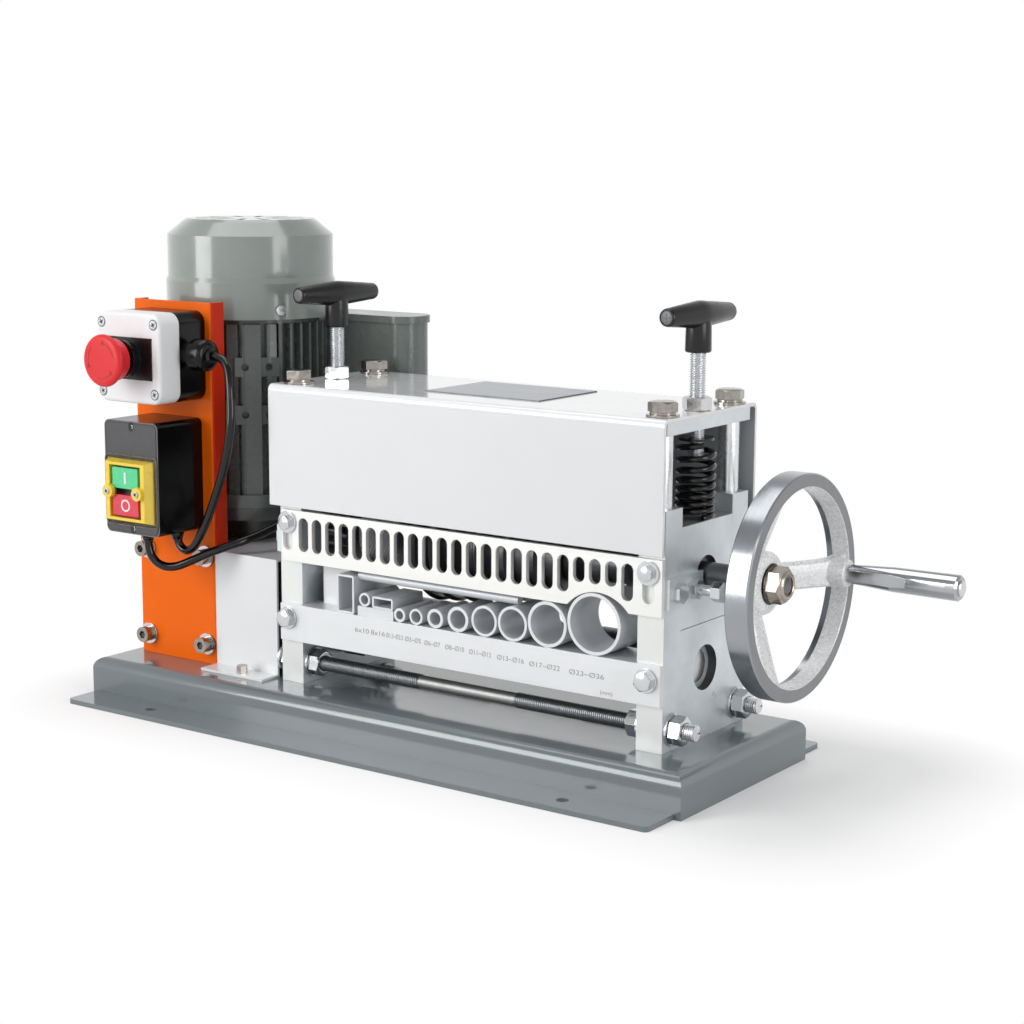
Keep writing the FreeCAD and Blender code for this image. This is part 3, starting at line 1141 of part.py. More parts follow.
def motor_frame():
    """Finned motor frame on its mounting flange, with bolt pads between the fins."""
    body = new_body("motor_frame_cast", "motor_x", MOTOR_Y, f"{FLANGE_FOOT} + flange_tier")
    flange = circles(body, "flange_circle", "XY", [("0", "0", "flange_diameter")])
    pad(body, "motor_flange", flange, "flange_tier")
    core = circles(body, "core_circle", "XY", [("0", "0", "motor_core")])
    pad(body, "motor_core_pad", core, "flange_tier + frame_length")
    near, far = "motor_core/2 - fin_root", "motor_core/2 + fin_depth"
    fin = outline(body, "fin_outline", "XY", [
        (near, "-fin_thickness/2"), (far, "-fin_thickness/2"), (far, "fin_thickness/2"),
        (near, "fin_thickness/2")])
    first = pad(body, "fin", fin, "flange_tier + frame_length - fin_top_gap")
    doc.recompute()
    fins = body.newObject("PartDesign::PolarPattern", "fins")
    fins.Originals = [first]
    fins.Axis = (origin_part(body, "Z_Axis"), [""])
    fins.Angle = 360
    bind(fins, Occurrences="fin_count")
    body.Tip = fins
    bore = rod("rotor_bore", "Z", "motor_x", MOTOR_Y, f"{COWL_FOOT} - rotor_seat",
               "rotor_shaft + 2*running_gap", "rotor_seat")
    top = f"({COWL_FOOT} - fin_top_gap)"
    extras = [radial_block(f"wide_rib_{count}", turn, "motor_core/2 + fin_depth", width,
                           f"{FRAME_FOOT} - flange_tier/2", f"{top} - {FRAME_FOOT} + flange_tier/2")
              for count, (turn, width) in enumerate(
                  ((f"foot_pad_turn + {rib}_rib_turn", f"{rib}_rib_width")
                   for rib in ("first", "second", "third")))]
    holes = [bore]
    for height in ("foot_pad_low", "foot_pad_high"):
        extras.append(radial_block(f"{height}_block", "foot_pad_turn",
                                   "motor_core/2 + fin_depth - foot_pad_rise",
                                   "foot_pad_width", height,
                                   "foot_pad_height"))
        for side in ("-", "+"):
            holes.append(radial_hole(f"{height}_hole_{len(holes)}", "foot_pad_turn",
                                     f"{side} foot_pad_holes_along/2",
                                     f"{height} + foot_pad_height/2"))
    return cut("motor_frame", fuse("motor_frame_solid", body, *extras), *holes)


def radial_block(name, turn, reach, width, foot, height):
    """A block on the motor's side, facing outward at an angle."""
    depth = "fin_depth + rib_root"
    piece = doc.addObject("Part::Box", name)
    bind(piece, Length=depth, Width=width, Height=height)
    piece.Placement = FreeCAD.Placement(
        FreeCAD.Vector(), FreeCAD.Rotation(FreeCAD.Vector(0, 0, 1), size(turn)))
    near = f"({reach} - ({depth}))"
    x = f"motor_x + {near}*cos({turn}) + ({width})/2*sin({turn})"
    y = f"{MOTOR_Y} + {near}*sin({turn}) - ({width})/2*cos({turn})"
    for letter, rule in zip("xyz", (x, y, foot)):
        piece.setExpression(f"Placement.Base.{letter}", sized(rule))
    return piece


def radial_hole(name, turn, aside, height):
    """A blind hole in a block on the motor's side."""
    depth = "foot_pad_hole_depth + foot_pad_rise"
    near = "(motor_core/2 + fin_depth - foot_pad_hole_depth)"
    piece = doc.addObject("Part::Cylinder", name)
    bind(piece, Radius="foot_pad_hole/2", Height=depth)
    piece.Placement = FreeCAD.Placement(
        FreeCAD.Vector(), FreeCAD.Rotation(FreeCAD.Vector(0, 0, 1), size(turn)) * TURN["X"])
    x = f"motor_x + {near}*cos({turn}) - ({aside})*sin({turn})"
    y = f"{MOTOR_Y} + {near}*sin({turn}) + ({aside})*cos({turn})"
    for letter, rule in zip("xyz", (x, y, height)):
        piece.setExpression(f"Placement.Base.{letter}", sized(rule))
    return piece


def motor_cowl():
    """Fan cover: a thin cup with a waist, a shoulder and a ring of vents in its top."""
    wall = "cowl_sheet"
    out, top = "cowl_diameter/2", "cowl_top_diameter/2"
    waist_out = f"{out} - cowl_step"
    profile = [("0", f"{out} - {wall}"), ("0", out), ("cowl_waist - cowl_slope", out),
               ("cowl_waist + cowl_slope", waist_out), ("cowl_shoulder", waist_out),
               ("cowl_height - cowl_edge", f"{top} + cowl_edge/2"),
               ("cowl_height", f"{top} - cowl_edge"), ("cowl_height", "cowl_cap/2"),
               (f"cowl_height - {wall}", "cowl_cap/2"),
               (f"cowl_height - {wall}", f"{top} - cowl_edge*3/2"),
               (f"cowl_height - cowl_edge - {wall}", f"{top} - cowl_edge/2"),
               (f"cowl_shoulder - {wall}/3", f"{waist_out} - {wall}"),
               (f"cowl_waist + cowl_slope - {wall}/4", f"{waist_out} - {wall}"),
               (f"cowl_waist - cowl_slope - {wall}/4", f"{out} - {wall}")]
    body = turned("motor_cowl_cup", "Z", "motor_x", MOTOR_Y, COWL_FOOT, profile)
    slot = outline(body, "vent_outline", "XY", [
        ("vent_inner", "-vent_root/2"), ("vent_outer", "-vent_tip/2"),
        ("vent_outer", "vent_tip/2"), ("vent_inner", "vent_root/2")])
    slot.setExpression("AttachmentOffset.Base.z", sized("cowl_height"))
    doc.recompute()
    vent = pocket(body, "vent", slot, "2*cowl_sheet")
    doc.recompute()
    vents = body.newObject("PartDesign::PolarPattern", "vents")
    vents.Originals = [vent]
    vents.Axis = (origin_part(body, "Z_Axis"), [""])
    vents.Angle = 360
    bind(vents, Occurrences="vent_count")
    body.Tip = vents
    cap = rod("cowl_cap", "Z", "motor_x", MOTOR_Y, f"{COWL_FOOT} + cowl_height - cowl_sheet",
              "cowl_cap", "cowl_sheet")
    return fuse("motor_cowl", body, cap)


def motor_rotor():
    """Shaft end and fan under the cowl."""
    start = f"({COWL_FOOT} - rotor_seat + rotor_foot_gap)"
    foot = f"{COWL_FOOT} + fan_rise"
    shaft = rod("rotor_shaft_end", "Z", "motor_x", MOTOR_Y, start, "rotor_shaft",
                f"{COWL_FOOT} + cowl_shoulder - rotor_top_gap - {start}")
    hub = rod("fan_hub", "Z", "motor_x", MOTOR_Y, foot, "fan_hub", "fan_hub_height")
    plate = rod("fan_plate", "Z", "motor_x", MOTOR_Y, foot, "fan_diameter", "fan_sheet")
    pieces = [shaft, hub, plate]
    blades = 7
    for number in range(blades):
        blade = doc.addObject("Part::Box", f"fan_blade_{number}")
        bind(blade, Length="fan_diameter/2 - fan_blade_root - fan_blade_gap", Width="fan_sheet",
             Height="fan_blade_height")
        turn = FreeCAD.Rotation(FreeCAD.Vector(0, 0, 1), 360.0 / blades * number)
        blade.Placement = FreeCAD.Placement(FreeCAD.Vector(), turn)
        for letter, rule in zip("xyz", (f"motor_x + fan_blade_root*cos(360/{blades}*{number})",
                                        f"{MOTOR_Y} + fan_blade_root*sin(360/{blades}*{number})",
                                        f"{foot} + fan_sheet/2")):
            blade.setExpression(f"Placement.Base.{letter}", sized(rule))
        pieces.append(blade)
    return fuse("motor_rotor", *pieces)


def terminal_box():
    """Rounded box behind the cover, held by the motor's side, with a lipped lid on top."""
    y = "(shaft_offset + cover_back + terminal_gap)"
    length = "terminal_right - terminal_left"
    inner = size("terminal_left") + 1
    case = box("terminal_case_blank", "terminal_left", y, "terminal_bottom", length,
               "terminal_depth", "terminal_top - terminal_bottom")
    round_case = rounded("terminal_round_case", case, size("terminal_round"),
                         lambda edge: along(edge, "Z") and edge.BoundBox.XMin > inner)
    clear = rod("terminal_clearance", "Z", "motor_x", MOTOR_Y, "terminal_bottom",
                "motor_core + 2*fin_depth + 2*bolt_gap", "terminal_top - terminal_bottom")
    lid = box("terminal_lid_blank", "terminal_left", f"{y} - lid_lip", "terminal_top",
              f"{length} + lid_lip", "terminal_depth + 2*lid_lip", "lid_height")
    round_lid = rounded("terminal_round_lid", lid, size("terminal_round + lid_lip"),
                        lambda edge: along(edge, "Z") and edge.BoundBox.XMin > inner)
    lid_clear = rod("lid_clearance", "Z", "motor_x", MOTOR_Y, "terminal_top",
                    "cowl_diameter + 2*bolt_gap", "lid_height")
    return group("terminal_box", cut("terminal_case", round_case, clear),
                 cut("terminal_lid", round_lid, lid_clear))


def coupling_guard():
    """Sheet guard over the coupling with a screwed foot at the front and at the back."""
    left = GUARD_LEFT
    body = new_body("coupling_guard_bent", left, "shaft_offset", BASE_TOP)
    half, wall, top = "guard_half", "guard_sheet", "guard_height"
    shape = [(f"-{half}", "0"), (f"-({half} - {wall})", "0"),
             (f"-({half} - {wall})", f"{top} - {wall}"), (f"{half} - {wall}", f"{top} - {wall}"),
             (f"{half} - {wall}", "0"), (half, "0"), (half, top), (f"-{half}", top)]
    pad(body, "guard_bent", outline(body, "guard_section", "YZ", shape), f"guard_right - {left}")
    feet = [box(f"guard_foot_{side}", left, low, BASE_TOP, f"guard_right - {left}",
                f"guard_foot + {wall}", wall)
            for side, low in (("front", f"shaft_offset - {half} - guard_foot"),
                              ("back", f"shaft_offset + {half} - {wall}"))]
    holes = [rod(f"guard_hole_{side}", "Z", "guard_bolt_at",
                 f"shaft_offset {sign} (guard_half + guard_bolt_out)", BASE_TOP,
                 "guard_bolt + 2*bolt_gap", wall)
             for side, sign in (("front", "-"), ("back", "+"))]
    return cut("coupling_guard", fuse("guard_with_feet", body, *feet), *holes)


def control_post():
    """Bent channel in front of the reducer that carries both control boxes."""
    half, wall = "post_width/2", "post_sheet"
    body = new_body("control_post_bent", "post_middle", POST_FRONT, BASE_TOP)
    shape = [(f"-{half}", "0"), (half, "0"), (half, "post_flange"),
             (f"{half} - {wall}", "post_flange"), (f"{half} - {wall}", wall),
             (f"-({half} - {wall})", wall), (f"-({half} - {wall})", "post_flange"),
             (f"-{half}", "post_flange")]
    bent = pad(body, "post_bent", outline(body, "post_section", "XY", shape), "post_height")
    soften(body, "post_bends", bent, "post_sheet",
           lambda edge: along(edge, "Z") and abs(edge.Vertexes[0].Point.y) < 1e-6)
    holes = [rod(f"post_hole_{count}", "Y", x, POST_FRONT, z, "foot_screw + 2*bolt_gap", wall)
             for count, (x, z) in enumerate(foot_screw_places())]
    return cut("control_post", body, *holes)


def post_screws():
    """Four socket head screws with washers through the foot of the post."""
    pieces = []
    under = f"({POST_FRONT} - washer_sheet)"
    for count, (x, z) in enumerate(foot_screw_places()):
        name = f"post_screw_{count}"
        pieces.append(ring(name + "_washer", "Y", x, under, z, "guide_washer",
                           "foot_screw + 2*bolt_gap", "washer_sheet"))
        face = f"({under} - foot_screw_head_height)"
        head = rod(name + "_head", "Y", x, face, z, "foot_screw_head", "foot_screw_head_height")
        shank = rod(name + "_shank", "Y", x, under, z, "foot_screw",
                    "washer_sheet + post_sheet + foot_screw_depth")
        socket = hexagon(name + "_socket", "Y", x, face, z, "foot_screw_socket",
                         "foot_screw_head_height/2")
        pieces.append(cut(name, fuse(name + "_solid", head, shank), socket))
    return pieces


def guard_screws():
    """A hexagon bolt through each foot of the coupling guard."""
    pieces = []
    for side, sign in (("front", "-"), ("back", "+")):
        x, y = "guard_bolt_at", f"shaft_offset {sign} (guard_half + guard_bolt_out)"
        head = hexagon(f"guard_screw_head_{side}", "Z", x, y, f"{BASE_TOP} + guard_sheet",
                       "guard_bolt_across", "guard_bolt_head")
        shank = rod(f"guard_screw_shank_{side}", "Z", x, y, BASE_TOP, "guard_bolt",
                    "guard_sheet")
        pieces.append(fuse(f"guard_screw_{side}", head, shank))
    return pieces


def stop_screw_places():
    """Across and upward places of the stop cover's four screws."""
    return [(f"motor_x {side} stop_screw_along/2", f"base_height + stop_middle {up} stop_screw_up/2")
            for side in ("-", "+") for up in ("-", "+")]


def cowl_screw(turn):
    """A screw in the side of the fan cover, facing outward at an angle."""
    x = f"motor_x + cowl_diameter/2*cos({turn})"
    y = f"{MOTOR_Y} + cowl_diameter/2*sin({turn})"
    screw = rod("cowl_screw", "X", x, y, f"{COWL_FOOT} + cowl_screw_height", "cowl_screw_head",
                "cowl_screw_rise")
    facing = FreeCAD.Rotation(FreeCAD.Vector(0, 0, 1), size(turn)) * TURN["X"]
    screw.Placement = FreeCAD.Placement(screw.Placement.Base, facing)
    return screw


def small_screws():
    """Screws of the post, the guard, the stop's cover, the switch frame and the fan cover."""
    pieces = post_screws() + guard_screws()
    for count, (x, z) in enumerate(stop_screw_places()):
        pieces.append(rod(f"stop_screw_{count}", "Y", x, f"{STOP_FRONT} - stop_screw_rise", z,
                          "small_screw", "stop_pocket + stop_screw_rise"))
    for side in ("-", "+"):
        pieces.append(rod(f"bezel_screw_{len(pieces)}", "Y",
                          f"motor_x {side} lug_along/2",
                          f"{SWITCH_FRONT} - bezel_depth - lug_rise - bezel_screw_rise",
                          f"base_height + {SWITCH_MIDDLE} - bezel_drop", "bezel_screw",
                          "bezel_screw_rise"))
    pieces += [cowl_screw(f"cowl_screw_turn + {turn}") for turn in (0, 120, 240)]
    return group("small_screws", *pieces)


def rounded_case(name, width, height, middle, face, depth, radius):
    """A box on the front of the post with rounded upright and level edges along Y."""
    blank = box(name + "_blank", f"motor_x - {width}/2", face,
                f"base_height + {middle} - {height}/2", width, depth, height)
    return rounded(name + "_rounded", blank, size(radius), lambda edge: along(edge, "Y"))


def stop_boxes():
    """Rear case and front cover of the emergency stop, each with what is fixed to it."""
    case = rounded_case("stop_case", "stop_width", "stop_height", "stop_middle",
                        f"{POST_FRONT} - stop_case_depth", "stop_case_depth", "stop_round")
    bore = "stem_diameter + 2*running_gap"
    middle = "base_height + stop_middle"
    case_hole = rod("stop_case_hole", "Y", "motor_x", f"{POST_FRONT} - stop_case_depth",
                    middle, bore, "stop_hole_depth")
    rear = cut("estop_rear_case", case, case_hole)
    cover = rounded_case("stop_cover", "stop_width", "stop_height", "stop_middle", STOP_FRONT,
                         "stop_cover_depth", "stop_round")
    front = size(STOP_FRONT)
    soft = rounded("stop_cover_soft", cover, size("stop_edge"),
                   lambda edge: all(abs(v.Point.y - front) < 1e-6 for v in edge.Vertexes))
    cover_hole = rod("stop_cover_hole", "Y", "motor_x", STOP_FRONT, middle, bore,
                     "stop_cover_depth")
    pockets = [rod(f"stop_pocket_{count}", "Y", x, STOP_FRONT, z, "small_screw + 2*bolt_gap",
                   "stop_pocket")
               for count, (x, z) in enumerate(stop_screw_places())]
    shell = cut("estop_cover", soft, cover_hole, *pockets)
    legend = box("stop_legend_blank", "motor_x - legend_width/2",
                 f"{STOP_FRONT} - legend_sheet", f"{middle} - legend_height/2",
                 "legend_width", "legend_sheet", "legend_height")
    legend_hole = rod("legend_hole", "Y", "motor_x", f"{STOP_FRONT} - legend_sheet", middle,
                      bore, "legend_sheet")
    plate = cut("estop_legend", legend, legend_hole)
    collar = ring("stop_collar", "Y", "motor_x",
                  f"{STOP_FRONT} - legend_sheet - collar_ring_depth", middle, "collar_ring",
                  bore, "collar_ring_depth")
    return rear, shell, group("estop_legend_and_collar", plate, collar)


def stop_button():
    """Stem that slides in the box, and the mushroom head that twists on it."""
    middle = "base_height + stop_middle"
    head_back = f"({STOP_FRONT} - legend_sheet - collar_ring_depth - stop_travel - legend_sheet)"
    inside = f"({POST_FRONT} - stop_case_depth + stop_case_rest)"
    stem_face = f"({head_back} - mushroom_depth/2)"
    stem = rod("estop_stem", "Y", "motor_x", stem_face, middle, "stem_diameter",
               f"{inside} - {stem_face}")
    out, front = "mushroom/2", f"({head_back} - mushroom_depth)"
    bore = "(stem_diameter/2 + running_gap)"
    back_of_bore = f"({stem_face} - bolt_gap)"
    rim, lip = f"({front} + mushroom_round)", f"({out} - mushroom_lip)"
    profile = [(front, "0"), (front, "mushroom_face"), (f"{front} + mushroom_round/3", lip),
               (rim, f"{out} - mushroom_lip/6"), (f"{rim} + mushroom_lip", out),
               (f"{head_back} - mushroom_lip", lip), (head_back, f"{lip} - mushroom_lip"),
               (head_back, bore), (back_of_bore, bore), (back_of_bore, "0")]
    head = turned("estop_button", "Y", "motor_x", "0", middle, profile)
    return stem, head


def switch_parts():
    """Switch box, its yellow frame, the clear boot over it and the two push buttons."""
    middle = f"(base_height + {SWITCH_MIDDLE})"
    case = rounded_case("switch_case", "switch_width", "switch_height", SWITCH_MIDDLE,
                        SWITCH_FRONT, "switch_depth", "switch_round")
    frame_middle = f"({middle} - bezel_drop)"
    shaft = "button_depth + button_tail"
    wells = []
    buttons = []
    for name, sign in (("green_button", "+"), ("red_button", "-")):
        z = f"{frame_middle} {sign} button_spacing/2 - button_height/2"
        face = f"({SWITCH_FRONT} - button_depth)"
        wells.append(box(name + "_well", "motor_x - button_width/2 - button_gap",
                         SWITCH_FRONT, f"{z} - button_gap",
                         "button_width + 2*button_gap", "button_well",
                         "button_height + 2*button_gap"))
        blank = box(name + "_blank", "motor_x - button_width/2", face, z, "button_width",
                    shaft, "button_height")
        buttons.append(rounded(name, blank, size("button_round"), lambda edge: along(edge, "Y")))
    box_piece = cut("switch_box", case, *wells)
    return box_piece, switch_bezel(frame_middle), buttons


def switch_bezel(middle):
    """Frame round the buttons, narrower to the front, with a screwed lug on each side."""
    wedge = doc.addObject("Part::Wedge", "bezel_wedge")
    low, high = "-bezel_width/2", "bezel_width/2"
    foot, top = "-bezel_height/2", "bezel_height/2"
    bind(wedge, Ymin="0", Ymax="bezel_depth", Xmin=f"{low} + bezel_taper",
         Xmax=f"{high} - bezel_taper", Zmin=f"{foot} + bezel_taper/2",
         Zmax=f"{top} - bezel_taper/2", X2min=low, X2max=high, Z2min=foot, Z2max=top)
    face = f"({SWITCH_FRONT} - bezel_depth)"
    stand(wedge, "motor_x", face, middle)
    window = box("bezel_window", "motor_x - bezel_window/2", face,
                 f"{middle} - bezel_window_height/2", "bezel_window", "bezel_depth",
                 "bezel_window_height")
    clear = box("button_clearance", "motor_x - button_width/2 - button_gap", face,
                f"{middle} - bezel_window_height/2", "button_width + 2*button_gap",
                "lug_root", "bezel_window_height")
    lugs = []
    for side, sign in (("left", "-"), ("right", "+")):
        lug = rod(f"bezel_lug_{side}_blank", "Y", f"motor_x {sign} lug_along/2",
                  f"{face} - lug_rise", middle, "lug", "lug_rise + lug_root")
        lugs.append(cut(f"bezel_lug_{side}", lug, clear))
    return fuse("switch_bezel", cut("bezel_frame", wedge, window), *lugs)


def cable_gland():
    """Hexagon gland on the right side of the stop's rear case."""
    x = "(motor_x + stop_width/2)"
    y, z = f"{POST_FRONT} - gland_depth", "base_height + stop_middle + gland_rise"
    base_nut = hexagon("gland_nut", "X", x, y, z, "gland_across", "gland_nut")
    dome = rod("gland_dome", "X", x, y, z, "gland_dome", "gland_length")
    smooth = rounded("gland_smooth", dome, size("gland_round"),
                     lambda edge: edge.BoundBox.XMin > size(x) + size("gland_length") - 1)
    return fuse("cable_gland", base_nut, smooth)


def lead(name, points):
    """A lead of straight runs joined by tangent arcs, round the corners of its way."""
    spots = list(points)
    edges = []
    place = spots[0]
    radii = []
    for index in range(1, len(spots) - 1):
        before = spots[index].sub(spots[index - 1])
        after = spots[index + 1].sub(spots[index])
        turn = before.getAngle(after)
        reach = 0.45 * min(before.Length, after.Length)
        radii.append(reach / math.tan(turn / 2))
        start = spots[index] - before.normalize() * reach
        end = spots[index] + after.normalize() * reach
        edges.append(Part.LineSegment(place, start).toShape())
        edges.append(tangent_arc(start, spots[index], end))
        place = end
    edges.append(Part.LineSegment(place, spots[-1]).toShape())
    path = Part.Wire(edges)
    first = spots[1].sub(spots[0])
    section = Part.Wire(Part.Circle(spots[0], first, size("lead") / 2).toShape())
    solid = path.makePipeShell([section], True, False)
    expected = path.Length * math.pi * size("lead") ** 2 / 4
    print(name, "length", round(path.Length, 1), "radii", [round(r, 1) for r in radii],
          "volume ratio", round(solid.Volume / expected, 4))
    piece = doc.addObject("Part::Feature", name)
    piece.Shape = solid
    return piece


def lead_corners(start, end, way):
    """Corners from shares of the line between two ends, each moved aside by lead diameters."""
    return [start + (end - start) * share + FreeCAD.Vector(right, back, up) * size("lead")
            for share, right, back, up in way]


def leads():
    """Lead from the stop's gland into the switch box, and lead from the box to the motor."""
    side = size("motor_x + switch_width/2")
    foot = size(f"base_height + {SWITCH_MIDDLE} - switch_height/2 - seat_gap")
    gland_end = FreeCAD.Vector(size("motor_x + stop_width/2 + gland_length + seat_gap"),
                               size(f"{POST_FRONT} - gland_depth"),
                               size("base_height + stop_middle + gland_rise"))
    box_end = FreeCAD.Vector(side - size("stop_lead_inset"),
                             size(f"{POST_FRONT} - stop_lead_depth"), foot)
    stop_lead = lead("estop_lead", lead_corners(gland_end, box_end, [
        (0, 0, 0, 0), (0, 1.6, 0, 0), (0.05, 3.3, -0.4, 0), (0.15, 4.8, -1.1, 0),
        (0.3, 6.1, -1.4, 0), (0.44, 6.6, -1.5, 0), (0.57, 6.6, -1.4, 0), (0.7, 6, -1.1, 0),
        (0.83, 5.3, -0.8, 0), (0.94, 4.5, -0.5, 0), (1, 3.4, -0.2, -0.7), (1, 2.3, 0, -1.8),
        (1, 1.1, 0, -2.1), (1, 0, 0, -1.2), (1, 0, 0, 0)]))
    box_start = FreeCAD.Vector(side - size("motor_lead_inset"),
                               size(f"{SWITCH_FRONT} + motor_lead_depth"), foot)
    motor_end = FreeCAD.Vector(size("terminal_right - motor_lead_end"),
                               size("shaft_offset + cover_back + terminal_gap + terminal_round"),
                               size("terminal_bottom - seat_gap"))
    motor_lead = lead("motor_lead", lead_corners(box_start, motor_end, [
        (0, 0, 0, 0), (0, 0, 0, -1.3), (0, 0.3, 0.1, -2.6), (0, 1.4, 0.4, -3.7),
        (0, 3.2, 1, -3.8), (0, 5.1, 1.9, -2.9), (0, 6.9, 3.1, -1.9), (0.2, 5.9, -0.2, -4.1),
        (0.3, 5.9, -0.1, -4.8), (0.44, 5, -0.1, -5.7), (0.6, 3.8, 0, -6.1),
        (0.78, 2.4, -0.1, -5.5), (0.92, 0.9, 0, -3.9), (1, 0, 0, -2.3), (1, 0, 0, 0)]))
    return stop_lead, motor_lead


def build():
    """Every sub-part, by its name."""
    rear, cover, legend = stop_boxes()
    stem, head = stop_button()
    switch_case, bezel, buttons = switch_parts()
    stop_lead, motor_lead = leads()
    nodes = {
        "base_pan": base_pan(),
        "left_side_plate": drilled_side_plate("left_side_plate", LEFT_PLATE),
        "right_side_plate": drilled_side_plate("right_side_plate", RIGHT_PLATE),
        "corner_posts": corner_posts(),
        "top_plate": top_plate(),
        "top_cover": top_cover(),
        "cover_label_plate": cover_label_plate(),
        "cover_bolts_and_nuts": cover_bolts_and_nuts(),
        "upper_guide_plate": upper_guide_plate(),
        "lower_guide_plate": lower_guide_plate(),
        "guide_bolts_and_washers": guide_bolts_and_washers(),
        "guide_tubes": guide_tubes(),
        "tube_braces": tube_braces(),
        "gear_guard_sheet": gear_guard_sheet(),
        "tie_rods": tie_rods(),
        "tie_rod_nuts_and_washers": tie_rod_nuts(),
        "block_keepers_and_bolts": block_keepers(),
        "lower_shaft_bushes": lower_shaft_bushes(),
        "bearing_blocks": bearing_blocks(),
        "upper_shaft": upper_shaft(),
        "upper_gear": gear("upper_gear", UPPER_AXIS, "shaft_core + 2*running_gap", -90),
        "lower_gear": gear("lower_gear", LOWER_AXIS, "lower_journal + 2*running_gap",
                           90 + 180 / SIZES["gear_teeth"]),
        "upper_cutter_rollers": upper_cutter_rollers(),
        "knurled_feed_roller": knurled_feed_roller(),
        "lower_shaft": lower_shaft(),
        "lower_feed_rollers": lower_feed_rollers(),
        "shaft_coupling": shaft_coupling(),
        "handwheel": hand_wheel(),
        "handwheel_nut_and_spindle": wheel_nut_and_spindle(),
        "handle_sleeve": handle_sleeve(),
        "left_spring": press_spring("left_spring", LEFT_PLATE),
        "right_spring": press_spring("right_spring", RIGHT_PLATE),
        "left_spring_collar": spring_collar("left_spring_collar", LEFT_PLATE),
        "right_spring_collar": spring_collar("right_spring_collar", RIGHT_PLATE),
        "left_press_screw": press_screw("left_press_screw", LEFT_PLATE),
        "right_press_screw": press_screw("right_press_screw", RIGHT_PLATE),
        "left_t_handle": t_handle("left_t_handle", LEFT_PLATE),
        "right_t_handle": t_handle("right_t_handle", RIGHT_PLATE),
        "reducer_housing": reducer_housing(),
        "motor_frame": motor_frame(),
        "motor_cowl": motor_cowl(),
        "motor_rotor": motor_rotor(),
        "terminal_box": terminal_box(),
        "coupling_guard": coupling_guard(),
        "control_post": control_post(),
        "small_screws": small_screws(),
        "estop_rear_case": rear,
        "estop_cover": cover,
        "estop_legend_and_collar": legend,
        "estop_stem": stem,
        "estop_button": head,
        "cable_gland": cable_gland(),
        "switch_box": switch_case,
        "switch_bezel": bezel,
        "green_button": buttons[0],
        "red_button": buttons[1],
        "estop_lead": stop_lead,
        "motor_lead": motor_lead,
    }
    for name, piece in nodes.items():
        piece.Label = name
    return nodes


def check(nodes):
    """Stop if any object failed or any sub-part is not a sound solid."""
    doc.recompute()
    failed = [item.Label for item in doc.Objects
              if "Invalid" in item.State or "Error" in item.State]
    unsound = [name for name, piece in nodes.items()
               if piece.Shape.isNull() or not piece.Shape.isValid() or not piece.Shape.Solids]
    if failed or unsound:
        raise ValueError(f"failed {failed} unsound {unsound}")


nodes = build()
check(nodes)
os.makedirs("parts", exist_ok=True)
for name, piece in nodes.items():
    piece.Shape.exportStep(f"parts/{name}.step")
print(len(nodes), "sub-parts")
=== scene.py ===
import math

import bmesh
import bpy
from mathutils import Matrix, Vector


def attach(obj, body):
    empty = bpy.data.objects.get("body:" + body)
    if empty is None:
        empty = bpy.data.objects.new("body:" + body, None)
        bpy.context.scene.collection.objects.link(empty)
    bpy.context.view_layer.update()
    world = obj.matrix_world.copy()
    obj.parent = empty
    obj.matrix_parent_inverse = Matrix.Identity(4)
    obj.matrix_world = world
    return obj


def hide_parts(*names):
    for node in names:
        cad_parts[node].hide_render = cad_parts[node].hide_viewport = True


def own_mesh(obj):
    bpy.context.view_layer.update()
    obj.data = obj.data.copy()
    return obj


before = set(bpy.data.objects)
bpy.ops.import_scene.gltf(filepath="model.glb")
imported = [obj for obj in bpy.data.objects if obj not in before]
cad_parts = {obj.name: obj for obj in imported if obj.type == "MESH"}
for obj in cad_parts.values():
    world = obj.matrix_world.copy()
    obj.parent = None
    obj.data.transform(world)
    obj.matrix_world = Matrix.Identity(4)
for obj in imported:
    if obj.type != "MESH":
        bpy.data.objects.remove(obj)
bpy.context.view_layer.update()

MM = 0.001
scene = bpy.context.scene

# Places shared with the solids, in millimetres
LEFT, RIGHT = -99.0, 238.5
SHAFT_Y = 5.5
UPPER_Z, LOWER_Z = 153.0, 84.0
COVER_TOP = 273.2
ROD_YS = (-40.5, 51.5)
ROD_Z = 47.5
RIM_BACK, RIM_FRONT = 310.0, 328.0
HANDLE_Y = 72.5
STOP_X, STOP_Z = -228.0, 290.0
SWITCH_X, SWITCH_Z, BUTTONS_Z = -228.0, 192.0, 181.5
BOX_FRONT, BEZEL_FRONT = -101.0, -109.4
GUIDE_FRONT = -58.5

# Radius, pitch and flats of the 12 mm screws, and how far marks reach into a face
SCREW, PITCH, FLATS = 6.0, 1.75, 19.0
SUNK = -0.4

# Levels of the studio, where 1 is white
FLOOR_MATT, FLOOR_GLOW, FLOOR_LIGHT, SKY_LIGHT = 0.86, 0.15, 0.62, 0.32

# Footprint that the floor stays pale round, and the distances it fades between, in metres
FOOT_MIDDLE, FOOT_HALF, FADE = (0.05, 0.02, 0.0), (0.29, 0.08, 0.0), (0.04, 0.13)

# Camera fitted to the photo: place in metres, yaw, pitch and roll in degrees, focal length and
# picture width in pixels, sensor in millimetres
CAMERA_PLACE = (0.99533, -1.29404, 0.46205)
CAMERA_TURNS = (35.2907, 10.0055, 0.2903)
FOCAL, PICTURE, SENSOR = 2091.65, 1024, 36.0

